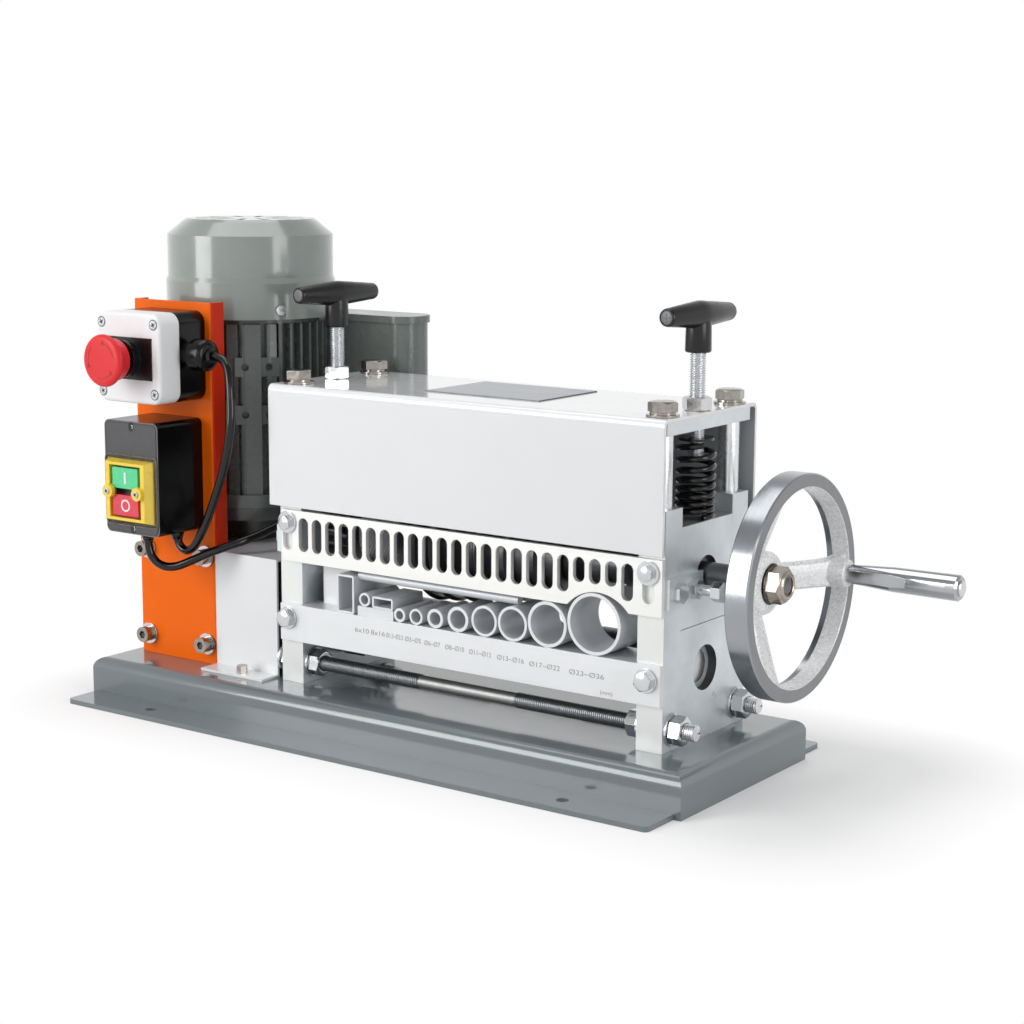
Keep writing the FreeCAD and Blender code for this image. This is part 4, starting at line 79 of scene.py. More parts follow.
# Area lamps: name, place and target in metres, watts, width and height
CENTRE = (0.0, 0.0, 0.15)
LAMPS = (("key", (-1.15, -1.93, 0.85), (-0.1, 0.0, 0.25), 30, 1.05, 1.5),
         ("top", (-0.35, 0.15, 2.1), CENTRE, 15, 1.5, 1.5),
         ("right_fill", (2.1, -0.25, 0.7), CENTRE, 15, 0.9, 1.2),
         ("front_fill", (0.5, -2.4, 1.3), CENTRE, 4, 1.4, 0.8))


# Colours, textures and materials
def srgb(red, green, blue):
    """Linear colour from levels of 0 to 255."""
    out = []
    for level in (red, green, blue):
        c = level / 255.0
        out.append(c / 12.92 if c <= 0.04045 else ((c + 0.055) / 1.055) ** 2.4)
    return tuple(out) + (1.0,)


def scaled(colour, factor):
    return tuple(min(1.0, c * factor) for c in colour[:3]) + (1.0,)


def new_noise(tree, vector, scale):
    noise = tree.nodes.new("ShaderNodeTexNoise")
    noise.inputs["Scale"].default_value = scale
    noise.inputs["Detail"].default_value = 4.0
    noise.inputs["Roughness"].default_value = 0.55
    tree.links.new(vector, noise.inputs["Vector"])
    return noise.outputs["Fac"]


def new_range(tree, value, low, high, from_low=0.3, from_high=0.7):
    node = tree.nodes.new("ShaderNodeMapRange")
    node.inputs["From Min"].default_value = from_low
    node.inputs["From Max"].default_value = from_high
    node.inputs["To Min"].default_value = low
    node.inputs["To Max"].default_value = high
    tree.links.new(value, node.inputs["Value"])
    return node.outputs["Result"]


def new_mix(tree, factor, first, second):
    node = tree.nodes.new("ShaderNodeMix")
    node.data_type = "RGBA"
    tree.links.new(factor, node.inputs[0])
    for socket, colour in ((node.inputs[6], first), (node.inputs[7], second)):
        if isinstance(colour, tuple):
            socket.default_value = colour
        else:
            tree.links.new(colour, socket)
    return node.outputs[2]


def surface(name, rgb, rough=0.4, metal=0.0, tint=0.05, patch=60.0, spread=0.05, smear=70.0,
            grain=900.0, bump=0.15, depth=0.02, coat=0.0, coat_rough=0.05,
            stretch=(1.0, 1.0, 1.0), edge=0.5, shine=0.5, pattern=None):
    """Principled material whose colour, roughness and relief follow noise.

    The colour varies by tint over patches, the roughness by spread over smears, and the relief
    of a depth in millimetres is a grain or a pattern. The stretch draws smears and grain out
    along an axis, and the edge is the radius that softens sharp edges.
    """
    colour = srgb(*rgb)
    mat = bpy.data.materials.new(name)
    mat.use_nodes = True
    mat.diffuse_color = colour
    tree = mat.node_tree
    links = tree.links
    shader = tree.nodes["Principled BSDF"]
    shader.inputs["Metallic"].default_value = metal
    shader.inputs["Specular IOR Level"].default_value = shine
    shader.inputs["Coat Weight"].default_value = coat
    shader.inputs["Coat Roughness"].default_value = coat_rough
    coords = tree.nodes.new("ShaderNodeTexCoord").outputs["Object"]
    mapping = tree.nodes.new("ShaderNodeMapping")
    mapping.inputs["Scale"].default_value = stretch
    links.new(coords, mapping.inputs["Vector"])
    patches = new_noise(tree, coords, patch)
    factor = new_range(tree, patches, 0.0, 1.0)
    links.new(new_mix(tree, factor, scaled(colour, 1 - tint), scaled(colour, 1 + tint)),
              shader.inputs["Base Color"])
    wear = new_noise(tree, mapping.outputs["Vector"], smear)
    links.new(new_range(tree, wear, max(0.02, rough - spread), rough + spread),
              shader.inputs["Roughness"])
    if pattern:
        height = pattern(tree, coords)
    else:
        height = new_noise(tree, mapping.outputs["Vector"], grain)
    relief = tree.nodes.new("ShaderNodeBump")
    relief.inputs["Strength"].default_value = bump
    relief.inputs["Distance"].default_value = depth * MM
    links.new(height, relief.inputs["Height"])
    if edge:
        bevel = tree.nodes.new("ShaderNodeBevel")
        bevel.samples = 4
        bevel.inputs["Radius"].default_value = edge * MM
        links.new(bevel.outputs["Normal"], relief.inputs["Normal"])
    links.new(relief.outputs["Normal"], shader.inputs["Normal"])
    return mat


def knurl(tree, coords):
    """Crossed grooves that run round the upper shaft line."""
    parts = tree.nodes.new("ShaderNodeSeparateXYZ")
    tree.links.new(coords, parts.inputs["Vector"])

    def math_node(kind, first, second=None):
        node = tree.nodes.new("ShaderNodeMath")
        node.operation = kind
        for socket, value in zip(node.inputs, (first, second)):
            if value is None:
                continue
            if isinstance(value, float):
                socket.default_value = value
            else:
                tree.links.new(value, socket)
        return node.outputs["Value"]

    y = math_node("SUBTRACT", parts.outputs["Y"], SHAFT_Y * MM)
    z = math_node("SUBTRACT", parts.outputs["Z"], UPPER_Z * MM)
    turn = math_node("MULTIPLY", math_node("ARCTAN2", z, y), 48.0)
    along = math_node("MULTIPLY", parts.outputs["X"], 2 * math.pi / (2.8 * MM))
    first = math_node("SINE", math_node("ADD", turn, along))
    second = math_node("SINE", math_node("SUBTRACT", turn, along))
    return math_node("ADD", first, second)


M = {
    "base": surface("base_grey", (114, 124, 128), 0.16, tint=0.03, patch=9, spread=0.03, grain=420,
                    bump=0.10, depth=0.05, coat=0.6),
    "motor": surface("motor_grey", (140, 149, 144), 0.22, patch=25, grain=520, bump=0.25,
                     depth=0.06, coat=0.7, coat_rough=0.10, edge=0.7),
    # Darker copy of the motor grey: painted shade on the finned motor frame and the terminal box
    "frame": surface("motor_grey_painted_shade", (98, 106, 103), 0.26, tint=0.06, patch=25, spread=0.06,
                     grain=520, bump=0.30, depth=0.07, coat=0.35, coat_rough=0.18, edge=0.6),
    "reducer": surface("reducer_grey", (74, 78, 78), 0.3, tint=0.07, patch=25, spread=0.06,
                       grain=420, bump=0.35, depth=0.10, coat=0.4, coat_rough=0.15, edge=0.9),
    "orange": surface("post_orange", (255, 110, 10), 0.34, tint=0.03, patch=30, grain=1500,
                      coat=0.08, coat_rough=0.12, edge=1.2, shine=0.12),
    # Deeper copy of the post orange: painted shade on the post's side flanges
    "orange_painted_shade": surface("post_orange_painted_shade", (214, 44, 0), 0.34, patch=30, grain=1500, coat=0.12,
                           coat_rough=0.10, edge=1.2, shine=0.15),
    "white": surface("cover_white", (240, 241, 243), 0.14, tint=0.01, patch=12, spread=0.03,
                     grain=380, bump=0.06, depth=0.04, coat=0.6, edge=0.6),
    # Grey copy of the cover white: painted shade on the inner face of the cover's back sheet
    "white_painted_shade": surface("cover_inside_painted_shade", (168, 171, 175), 0.4, tint=0.02, patch=12, spread=0.03,
                            grain=380, bump=0.06, depth=0.04, edge=0.4),
    "zinc": surface("plate_zinc", (214, 221, 224), 0.36, 0.55, tint=0.06, patch=50, spread=0.09,
                    smear=60, grain=700, bump=0.12),
    "zinc_front": surface("plate_edge", (226, 228, 226), 0.4, 0.35, tint=0.02, spread=0.06,
                          grain=700, bump=0.12, depth=0.03),
    "guide": surface("guide_satin", (240, 240, 237), 0.36, 0.35, tint=0.02, patch=30, smear=40,
                     grain=260, depth=0.012, stretch=(0.12, 1, 6), edge=0.3),
    "lower_guide": surface("guide_brushed", (226, 228, 230), 0.36, 0.45, tint=0.025, patch=25,
                           smear=40, grain=260, depth=0.012, stretch=(0.12, 1, 6), edge=0.3),
    "tube": surface("tube_steel", (212, 215, 219), 0.4, 0.15, tint=0.04, patch=50, spread=0.06,
                    smear=60, bump=0.08, depth=0.01, edge=0.25),
    "tube_cut": surface("tube_cut", (222, 224, 226), 0.34, 0.4, tint=0.03, patch=120, spread=0.06,
                        grain=1600, bump=0.12, depth=0.01, edge=0.25),
    "bolt": surface("bolt_zinc", (206, 208, 210), 0.17, 0.95, patch=160, spread=0.06, smear=240,
                    grain=1500, bump=0.08, depth=0.01, edge=0.35),
    "warm": surface("bolt_nickel", (158, 153, 146), 0.13, 0.97, tint=0.14, patch=240, spread=0.06,
                    smear=260, grain=1300, bump=0.12, depth=0.015, edge=0.35),
    "thread": surface("thread_zinc", (214, 216, 219), 0.26, 0.9, tint=0.06, patch=200, spread=0.06,
                      smear=260, grain=1800, bump=0.06, depth=0.01, edge=0.0),
    "rod_plain": surface("rod_plain", (142, 142, 141), 0.42, 0.8, smear=120, grain=500, bump=0.10,
                         depth=0.01, stretch=(6, 0.5, 0.5), edge=0.0),
    # Darker copy of the thread zinc: painted shade on the tie-rod threads, save the ends beyond
    # the right side plate
    "rod_thread_painted_shade": surface("rod_thread_painted_shade", (142, 144, 147), 0.34, 0.9, tint=0.08, patch=200,
                          spread=0.06, smear=260, grain=1800, bump=0.06, depth=0.01, edge=0.0),
    "shaft": surface("shaft_ground", (190, 192, 194), 0.22, 0.95, tint=0.04, smear=120, grain=500,
                     bump=0.12, depth=0.008, stretch=(6, 0.5, 0.5), edge=0.25),
    "post_metal": surface("post_ground", (222, 224, 226), 0.26, 0.9, tint=0.03, patch=40,
                          spread=0.03, smear=90, grain=400, bump=0.06, depth=0.006, edge=0.25),
    # Dark steel of the gears, rollers and coupling, made darker still as painted shade on the
    # rollers inside the head
    "gear": surface("gear_steel_and_shade", (112, 112, 114), 0.35, 0.9, tint=0.10, spread=0.08, bump=0.2,
                    edge=0.25),
    "knurled": surface("roller_knurl", (150, 150, 152), 0.32, 0.9, tint=0.08, patch=80,
                       spread=0.06, bump=0.8, depth=0.35, edge=0.0, pattern=knurl),
    "cast": surface("wheel_cast", (238, 240, 242), 0.3, 0.1, tint=0.20, patch=620, spread=0.08,
                    smear=300, grain=460, bump=0.6, depth=0.24, edge=0.6),
    "turned": surface("wheel_turned", (158, 161, 166), 0.2, 0.92, tint=0.04, smear=120, grain=300,
                      bump=0.08, depth=0.010, stretch=(7, 0.6, 0.6)),
    # Darker, duller copy of the turned metal: painted shade on the rim's flat front face
    "wheel_face": surface("wheel_face", (134, 136, 139), 0.4, 0.5, tint=0.04, smear=120,
                          grain=520),
    "nickel": surface("nut_nickel", (166, 156, 146), 0.2, 0.9, tint=0.12, patch=180, spread=0.08,
                      smear=240, grain=1100, edge=0.6),
    "chrome": surface("handle_chrome", (176, 178, 181), 0.13, 1.0, tint=0.03, patch=40,
                      spread=0.03, smear=90, grain=300, bump=0.05, depth=0.015),
    "label": surface("label_plate", (160, 164, 170), 0.3, 0.5, tint=0.03, patch=30, spread=0.04,
                     grain=260, bump=0.10, depth=0.008, stretch=(0.12, 6, 1), edge=0.2),
    "label_edge": surface("label_edge", (96, 100, 104), 0.4, 0.5, grain=700, bump=0.1, depth=0.01,
                          edge=0.0),
    "spring": surface("spring_black", (7, 7, 8), 0.16, tint=0.2, patch=200, smear=240, bump=0.10,
                      depth=0.015, coat=0.25, edge=0.0, shine=0.35),
    "black": surface("black_satin", (18, 18, 20), 0.28, tint=0.12, spread=0.06, smear=120,
                     coat=0.1, coat_rough=0.2, edge=0.7, shine=0.35),
    "gloss": surface("black_gloss", (8, 8, 9), 0.2, tint=0.12, spread=0.04, smear=90, grain=500,
                     bump=0.08, coat=0.08, edge=0.7, shine=0.22),
    "plate": surface("switch_plate", (68, 68, 71), 0.46, tint=0.08, patch=90, smear=120,
                     grain=2400, bump=0.6, depth=0.06, edge=0.4),
    "cap": surface("cap_grey", (112, 114, 117), 0.36, patch=80, grain=1100, edge=0.3),
    "pale": surface("stop_white", (244, 245, 247), 0.34, tint=0.01, patch=40, smear=90, bump=0.08,
                    depth=0.015, edge=0.6, shine=0.3),
    "red": surface("stop_red", (228, 46, 52), 0.4, tint=0.03, smear=120, grain=1200, bump=0.12,
                   depth=0.015, shine=0.3),
    # Darker copy of the stop red: painted shade in the grooves of the turning arrows
    "red_groove_shade": surface("stop_groove_shade", (168, 30, 34), 0.5, patch=90, bump=0.1, depth=0.01,
                          edge=0.0),
    "push_red": surface("push_red", (228, 56, 78), 0.26, smear=120, bump=0.12, depth=0.015,
                        coat=0.4, edge=0.4),
    "green": surface("push_green", (86, 218, 152), 0.26, tint=0.04, smear=120, bump=0.12,
                     depth=0.015, coat=0.4, edge=0.4),
    "yellow": surface("bezel_yellow", (250, 216, 70), 0.3, tint=0.03, smear=120, bump=0.12,
                      depth=0.015, coat=0.3),
    "mark": surface("mark_white", (244, 244, 242), 0.4, tint=0.02, patch=90, bump=0.1, depth=0.01,
                    edge=0.0),
    "ink": surface("engraved_grey", (150, 148, 146), 0.5, 0.2, tint=0.10, patch=300, grain=1500,
                   bump=0.2, depth=0.01, edge=0.0),
    "rubber": surface("lead_black", (4, 4, 5), 0.13, tint=0.15, spread=0.03, smear=120, grain=700,
                      bump=0.05, depth=0.015, coat=0.05, edge=0.0, shine=0.4),
    "boot_edge": surface("boot_edge", (124, 116, 104), 0.3, tint=0.08, patch=90, smear=120,
                         edge=0.0),
    # Dark copy of the zinc: painted shade on the walls of the shaft holes
    "painted_hole_shade": surface("painted_hole_shade", (70, 72, 72), 0.4, 0.6, tint=0.15, bump=0.2, edge=0.0),
    # Near black: painted shade in the switch's screw slots and the lug screws' cross recesses
    "painted_recess_shade": surface("recess_shade_black", (10, 10, 11), 0.6, tint=0.2, bump=0.2, edge=0.0),
}


def clear_film():
    """Clear soft plastic of the boot round the two buttons."""
    mat = surface("boot_clear", (232, 226, 206), 0.12, tint=0.03, patch=70, spread=0.04, smear=90,
                  grain=260, bump=0.25, depth=0.06, edge=0.0)
    shader = mat.node_tree.nodes["Principled BSDF"]
    shader.inputs["Transmission Weight"].default_value = 1.0
    shader.inputs["IOR"].default_value = 1.12
    return mat


M["clear"] = clear_film()


# Solids kept in their own form
def shade(obj, *rules):
    """Gives faces other materials; a rule is a material and a test of middle and direction."""
    mesh = obj.data
    for key, _ in rules:
        mesh.materials.append(M[key])
    for face in mesh.polygons:
        centre = face.center / MM
        passed = [slot for slot, (_, test) in enumerate(rules, 1) if test(centre, face.normal)]
        face.material_index = passed[0] if passed else 0


def paint(node, base, *rules):
    """Paints a solid with one material and with the rules of shade."""
    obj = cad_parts[node]
    obj.data.materials.clear()
    obj.data.materials.append(M[base])
    shade(obj, *rules)


def shaded_hole_test(height, reach):
    """Test for the wall of a hole round the shaft line at a height; these walls get painted shade.
    """
    return lambda p, n: abs(n.x) < 0.5 and math.hypot(p.y - SHAFT_Y, p.z - height) < reach


# Solids of one material
PLAIN = (("spring", "left_spring_collar", "right_spring_collar"),
         ("zinc", "top_plate", "lower_shaft_bushes"), ("post_metal", "corner_posts"),
         ("white", "gear_guard_sheet", "coupling_guard"), ("guide", "upper_guide_plate"),
         ("lower_guide", "lower_guide_plate"), ("shaft", "lower_shaft"),
         ("gear", "upper_gear", "lower_gear", "upper_cutter_rollers", "lower_feed_rollers",
          "shaft_coupling"),
         ("chrome", "handle_sleeve"), ("base", "base_pan"), ("reducer", "reducer_housing"),
         # Motor frame and terminal box take the darker copy of the motor grey, as painted shade
         ("frame", "motor_frame", "terminal_box"), ("motor", "motor_cowl"),
         ("black", "motor_rotor", "estop_stem", "estop_legend_and_collar"),
         ("gloss", "estop_rear_case"), ("pale", "estop_cover"), ("yellow", "switch_bezel"),
         ("green", "green_button"), ("push_red", "red_button"))


def paint_solids():
    """Paints the solids that stay; cut and front faces can have a look of their own, and hole
    walls, the cover's inner back face and the post's side flanges get painted shade.
    """
    for material, *nodes in PLAIN:
        for node in nodes:
            paint(node, material)
    for side in ("left", "right"):
        # Walls of the lower shaft holes get painted shade
        paint(f"{side}_side_plate", "zinc", ("zinc_front", lambda p, n: n.y < -0.9 and p.y < -50),
              ("painted_hole_shade", shaded_hole_test(LOWER_Z, 19)))
    # Walls of the upper shaft holes get painted shade
    paint("bearing_blocks", "zinc", ("painted_hole_shade", shaded_hole_test(UPPER_Z, 20)))
    # Inner face of the cover's back sheet painted grey as painted shade
    paint("top_cover", "white", ("white_painted_shade", lambda p, n: n.y < -0.9 and p.y > 60))
    paint("cover_label_plate", "label", ("label_edge", lambda p, n: abs(n.z) < 0.5))
    paint("guide_tubes", "tube", ("tube_cut", lambda p, n: abs(n.y) > 0.9))
    paint("tube_braces", "tube", ("tube_cut", lambda p, n: p.z < 106 and n.y < -0.9))
    strap, edge = (-114.2, 253.7), (249.7, 253.4)
    paint("block_keepers_and_bolts", "bolt",
          ("zinc", lambda p, n: strap[0] < p.x < strap[1] and not edge[0] < p.x < edge[1]))
    paint("upper_shaft", "shaft", ("gear", lambda p, n: p.x > 236))
    paint("knurled_feed_roller", "knurled", ("gear", lambda p, n: abs(n.x) > 0.9))
    # Side flanges of the post in the deeper orange, as painted shade
    paint("control_post", "orange", ("orange_painted_shade", lambda p, n: abs(n.x) > 0.7))
    paint("small_screws", "bolt", ("warm", lambda p, n: p.z < 130 and (p.x > -190 or p.y < -53)))
    paint("switch_box", "gloss", ("plate", lambda p, n: n.y < -0.9 and p.y < -95))


# Mesh forms: each gives its points in millimetres and its faces
def ring_turns(steps):
    return [2 * math.pi * i / steps for i in range(steps)]


def skin(rings, ends=False):
    """Form through rings of points, where a ring of one point is a tip."""
    points, rows, faces = [], [], []
    for ring in rings:
        rows.append(range(len(points), len(points) + len(ring)))
        points.extend(ring)
    for low, high in zip(rows, rows[1:]):
        count = max(len(low), len(high))
        for i in range(count if count > 1 else 0):
            j = (i + 1) % count
            if len(low) == 1:
                faces.append((low[0], high[j], high[i]))
            elif len(high) == 1:
                faces.append((low[i], low[j], high[0]))
            else:
                faces.append((low[i], low[j], high[j], high[i]))
    if ends:
        faces += [tuple(reversed(rows[0])), tuple(rows[-1])]
    return points, faces


def lathe(profile, steps=64):
    """Turned form about the z axis through (radius, height) points."""
    return skin([[(radius * math.cos(a), radius * math.sin(a), height)
                  for a in (ring_turns(steps) if radius else (0.0,))]
                 for radius, height in profile])


def hex_form(flats, height, both=False, hole=0.0, steps=48):
    """Hexagon with 30 degree chamfers on its top, or on both ends."""
    inner = 0.475 * flats
    slope = math.tan(math.radians(30))
    rings = []

    def corner(a):
        return flats / 2 / math.cos((a % (math.pi / 3)) - math.pi / 6)

    def drop(a):
        return max(0.0, corner(a) - inner) * slope

    def ring(radius_of, height_of):
        rings.append([(radius_of(a) * math.cos(a), radius_of(a) * math.sin(a), height_of(a))
                      for a in ring_turns(steps)])

    if hole:
        ring(lambda a: hole, lambda a: 0.0)
    else:
        rings.append([(0.0, 0.0, 0.0)])
    if both:
        ring(lambda a: inner, lambda a: 0.0)
        ring(corner, drop)
    else:
        ring(corner, lambda a: 0.0)
    ring(corner, lambda a: height - drop(a))
    ring(lambda a: inner, lambda a: height)
    if hole:
        ring(lambda a: hole + 0.4, lambda a: height)
        ring(lambda a: hole, lambda a: height - 0.5)
        ring(lambda a: hole, lambda a: 0.0)
    else:
        rings.append([(0.0, 0.0, height)])
    return skin(rings)


def thread_form(length, steps=24):
    """Screw thread from height 0 to length, with flat ends."""
    root = SCREW - 0.6 * PITCH
    shape = ((0.0, SCREW), (0.14, SCREW), (0.5, root), (0.6, root))
    points, faces, rows = [(0.0, 0.0, 0.0)], [], []
    for turn in range(-1, int(length / PITCH) + 1):
        for share, radius in shape:
            rows.append(range(len(points), len(points) + steps))
            for i, a in enumerate(ring_turns(steps)):
                height = PITCH * (turn + share + i / steps)
                near = min(max(height, 0.0), length)
                size = radius if near == height else min(radius, SCREW - 0.5)
                points.append((size * math.cos(a), size * math.sin(a), near))
    for low, high in zip(rows, rows[1:]):
        for i in range(steps - 1):
            faces.append((low[i], low[i + 1], high[i + 1], high[i]))
    # At the seam a ring goes on in the ring of the next turn
    wrap = len(shape)
    for k in range(len(rows) - wrap - 1):
        faces.append((rows[k][-1], rows[k + wrap][0], rows[k + wrap + 1][0], rows[k + 1][-1]))
    top = len(points)
    points.append((0.0, 0.0, length))
    first, last = rows[0], rows[-1]
    for i in range(steps - 1):
        faces.append((0, first[i + 1], first[i]))
        faces.append((top, last[i], last[i + 1]))
    return points, faces


def tube_form(path, radius, steps=16):
    """Round tube with flat ends along a list of points."""
    rings = []
    line = [Vector(p) for p in path]
    side = None
    for k, here in enumerate(line):
        ahead = line[min(k + 1, len(line) - 1)] - line[max(k - 1, 0)]
        ahead.normalize()
        if side is None:
            side = ahead.orthogonal().normalized()
        side = (side - ahead * side.dot(ahead)).normalized()
        other = ahead.cross(side)
        rings.append([tuple(here + radius * (math.cos(a) * side + math.sin(a) * other))
                      for a in ring_turns(steps)])
    return skin(rings, ends=True)


def box_form(low, high, chamfer=0.0):
    """Box with chamfered edges between two corners."""
    c = chamfer
    rings = []
    for z, inset in ((low[2], c), (low[2] + c, 0.0), (high[2] - c, 0.0), (high[2], c)):
        x0, x1 = low[0] + inset, high[0] - inset
        y0, y1 = low[1] + inset, high[1] - inset
        rings.append([(x0 + c, y0, z), (x1 - c, y0, z), (x1, y0 + c, z), (x1, y1 - c, z),
                      (x1 - c, y1, z), (x0 + c, y1, z), (x0, y1 - c, z), (x0, y0 + c, z)])
    return skin(rings, ends=True)


def moved(form, whole):
    points, faces = form
    return [tuple(whole @ Vector(p)) for p in points], faces


def facing(form, origin, direction, spin=0.0):
    """Moves a form made on the z axis to a place, to point in a direction."""
    turn = direction.to_track_quat("Z", "Y").to_matrix().to_4x4()
    return moved(form, Matrix.Translation(Vector(origin)) @ turn @ Matrix.Rotation(spin, 4, "Z"))


def placed(form, origin, axis="+Z", spin=0.0):
    """Moves a form made on the z axis to a place, to point along an axis of the machine."""
    direction = Vector({"+X": (1, 0, 0), "-X": (-1, 0, 0), "-Y": (0, -1, 0), "+Z": (0, 0, 1),
                        "-Z": (0, 0, -1)}[axis])
    return facing(form, origin, direction, spin)


def merged(*forms):
    points, faces = [], []
    for some_points, some_faces in forms:
        shift = len(points)
        points.extend(some_points)
        faces.extend(tuple(i + shift for i in face) for face in some_faces)
    return points, faces


def piece(name, form, material, body, slot, stands_for=(), sharp=32.0):
    """Object of one form on a body, in place of the solids of some nodes."""
    points, faces = form
    mesh = bpy.data.meshes.new(name)
    mesh.from_pydata([(x * MM, y * MM, z * MM) for x, y, z in points], [], faces)
    work = bmesh.new()
    work.from_mesh(mesh)
    bmesh.ops.remove_doubles(work, verts=work.verts, dist=1e-7)
    bmesh.ops.recalc_face_normals(work, faces=work.faces)
    work.to_mesh(mesh)
    work.free()
    mesh.validate()
    mesh.shade_smooth()
    mesh.set_sharp_from_angle(angle=math.radians(sharp))
    mesh.materials.append(M[material])
    obj = bpy.data.objects.new(name, mesh)
    scene.collection.objects.link(obj)
    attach(obj, body)
    if stands_for:
        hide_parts(*stands_for)
    return obj


# Fasteners
def washer(outer, inner, thick):
    """Flat ring between two radii, with chamfered edges."""
    c = 0.2
    return lathe(((inner, 0), (outer - c, 0), (outer, c), (outer, thick - c), (outer - c, thick),
                  (inner, thick), (inner, 0)), 56)


def hex_bolt(flats, height, washer_outer, washer_thick, spring_washer=True):
    """Head, flat washer and spring washer; height 0 is the seat."""
    hole = flats * 0.3
    parts = [washer(washer_outer, hole, washer_thick)]
    rise = washer_thick
    if spring_washer:
        parts.append(placed(washer(flats * 0.5, hole, 1.8), (0, 0, rise)))
        rise += 1.9
    parts.append(placed(hex_form(flats, height - rise), (0, 0, rise)))
    return merged(*parts)


def cover_fasteners():
    """Four bolts and two nuts on top of the cover."""
    front, back = -42, 53
    forms = []
    for x, y, spin in ((LEFT, front, 0.2), (LEFT, back, 0.55), (RIGHT, front, 0.35),
                       (RIGHT, back, 0.75)):
        forms.append(placed(hex_bolt(FLATS, 11.0, 12.0, 1.8), (x, y, COVER_TOP), "+Z", spin))
    piece("cover_bolts", merged(*forms), "warm", "frame", "bolt_steel", ("cover_bolts_and_nuts",))
    nut = hex_form(FLATS, 10, both=True, hole=6.2)
    forms = [placed(nut, (x, SHAFT_Y, COVER_TOP), "+Z", spin)
             for x, spin in ((LEFT, 0.1), (RIGHT, 0.3))]
    piece("cover_nuts", merged(*forms), "bolt", "frame", "bolt_steel")


def guide_fasteners():
    """At each end one bolt through the lower guide and one through the upper guide."""
    forms = []
    for x in (LEFT, RIGHT):
        forms.append(placed(hex_bolt(13, 6.9, 9.0, 1.6, False), (x, GUIDE_FRONT, 85.5), "-Y", 0.3))
        forms.append(placed(hex_bolt(10, 5.6, 9.0, 1.6, False), (x, -57.5, 163.5), "-Y", 0.5))
    piece("guide_bolts", merged(*forms), "bolt", "frame", "bolt_steel",
          ("guide_bolts_and_washers",))


def tie_rod_set():
    """Rods with a bare middle, and a nut on each side of both side plates."""
    first, bare_from, bare_to, outside, last = -117.0, 22.0, 114.5, 250.5, 270.5
    forms, bare, ends = [], [], []
    for y in ROD_YS:
        for start, stop in ((first, bare_from), (bare_to, outside)):
            forms.append(placed(thread_form(stop - start), (start, y, ROD_Z), "+X"))
        ends.append(placed(thread_form(last - outside), (outside, y, ROD_Z), "+X"))
        long = bare_to - bare_from
        waist = ((0, 0), (5.25, 0), (5.25, long), (0, long))
        bare.append(placed(lathe(waist, 40), (bare_from, y, ROD_Z), "+X"))
    # These threads take the darker copy as painted shade; the ends beyond the right plate keep the
    # pale zinc
    piece("tie_rod_threads", merged(*forms), "rod_thread_painted_shade", "frame", "bolt_steel", ("tie_rods",))
    piece("tie_rod_ends", merged(*ends), "thread", "frame", "bolt_steel")
    piece("tie_rod_middles", merged(*bare), "rod_plain", "frame", "bolt_steel")
    forms = []
    for y in ROD_YS:
        for seat, way, spin, height in ((first, "+X", 0.2, 5), (-88, "+X", 0.4, 10),
                                        (227.5, "-X", 0.1, 10), (249.5, "+X", 0.3, 10)):
            forms.append(placed(washer(12, 6.2, 2), (seat, y, ROD_Z), way))
            step = 2 if way == "+X" else -2
            forms.append(placed(hex_form(FLATS, height, both=True, hole=6.05),
                                (seat + step, y, ROD_Z), way, spin))
    piece("tie_rod_nuts", merged(*forms), "bolt", "frame", "bolt_steel",
          ("tie_rod_nuts_and_washers",))


def press_screws():
    """Threads of the two screws that press the carriage down."""
    foot, length = 237.5, 77.5
    for side, x, body in (("left", LEFT, "left_screw"), ("right", RIGHT, "right_screw")):
        piece(f"{side}_screw_thread", placed(thread_form(length), (x, SHAFT_Y, foot)), "thread",
              body, "bolt_steel", (f"{side}_press_screw",))


def t_handles():
    """A neck and a bar that swells to its middle, with a grey cap in the bar's front end."""
    half, end, swell, rise, neck_foot = 41.0, 6.65, 10.0, 342.0, 315
    bar = lathe(((0, -half), (end - 2, -half), (end - 0.7, -half + 0.5), (end, -half + 2),
                 (swell - 0.25, -4), (swell, 0), (swell - 0.25, 4), (end, half - 2),
                 (end - 0.4, half - 0.4), (end - 1.1, half), (end - 1.4, half),
                 (end - 1.4, half - 0.5), (0, half - 0.5)), 48)
    neck = lathe(((0, 0), (8.6, 0), (9.3, 0.4), (9.65, 1.4), (9.3, 20), (8.6, 27), (0, 27)), 48)
    cap = lathe(((0, 0.2), (3.2, 0.15), (4.4, 0.0), (4.9, -0.3), (4.9, -0.5), (0, -0.5)), 40)
    cross = [box_form((-3.2, -0.45, 0.1), (3.2, 0.45, 0.5), 0.15),
             box_form((-0.45, -3.2, 0.1), (0.45, 3.2, 0.5), 0.15)]
    for side, x, degrees in (("left", LEFT, 8.3), ("right", RIGHT, 3.4)):
        turn = math.radians(-degrees)
        way = Vector((math.sin(turn), -math.cos(turn), 0.0))
        centre = Vector((x, SHAFT_Y, rise))
        form = merged(facing(bar, centre, way), placed(neck, (x, SHAFT_Y, neck_foot)))
        piece(f"{side}_handle_form", form, "black", f"{side}_screw", "black_plastic",
              (f"{side}_t_handle",), 50)
        piece(f"{side}_handle_cap", facing(merged(cap, *cross), centre + way * half, way), "cap",
              f"{side}_screw", "black_plastic")


# Springs: the lower half rises with the carriage, the upper half is pressed by the collar
TURN_HEIGHTS = (196.05, 201.075, 206.252, 211.730, 217.663, 224.199, 231.492, 239.692, 248.95)
WIRE, COIL = 2.25, 12.75


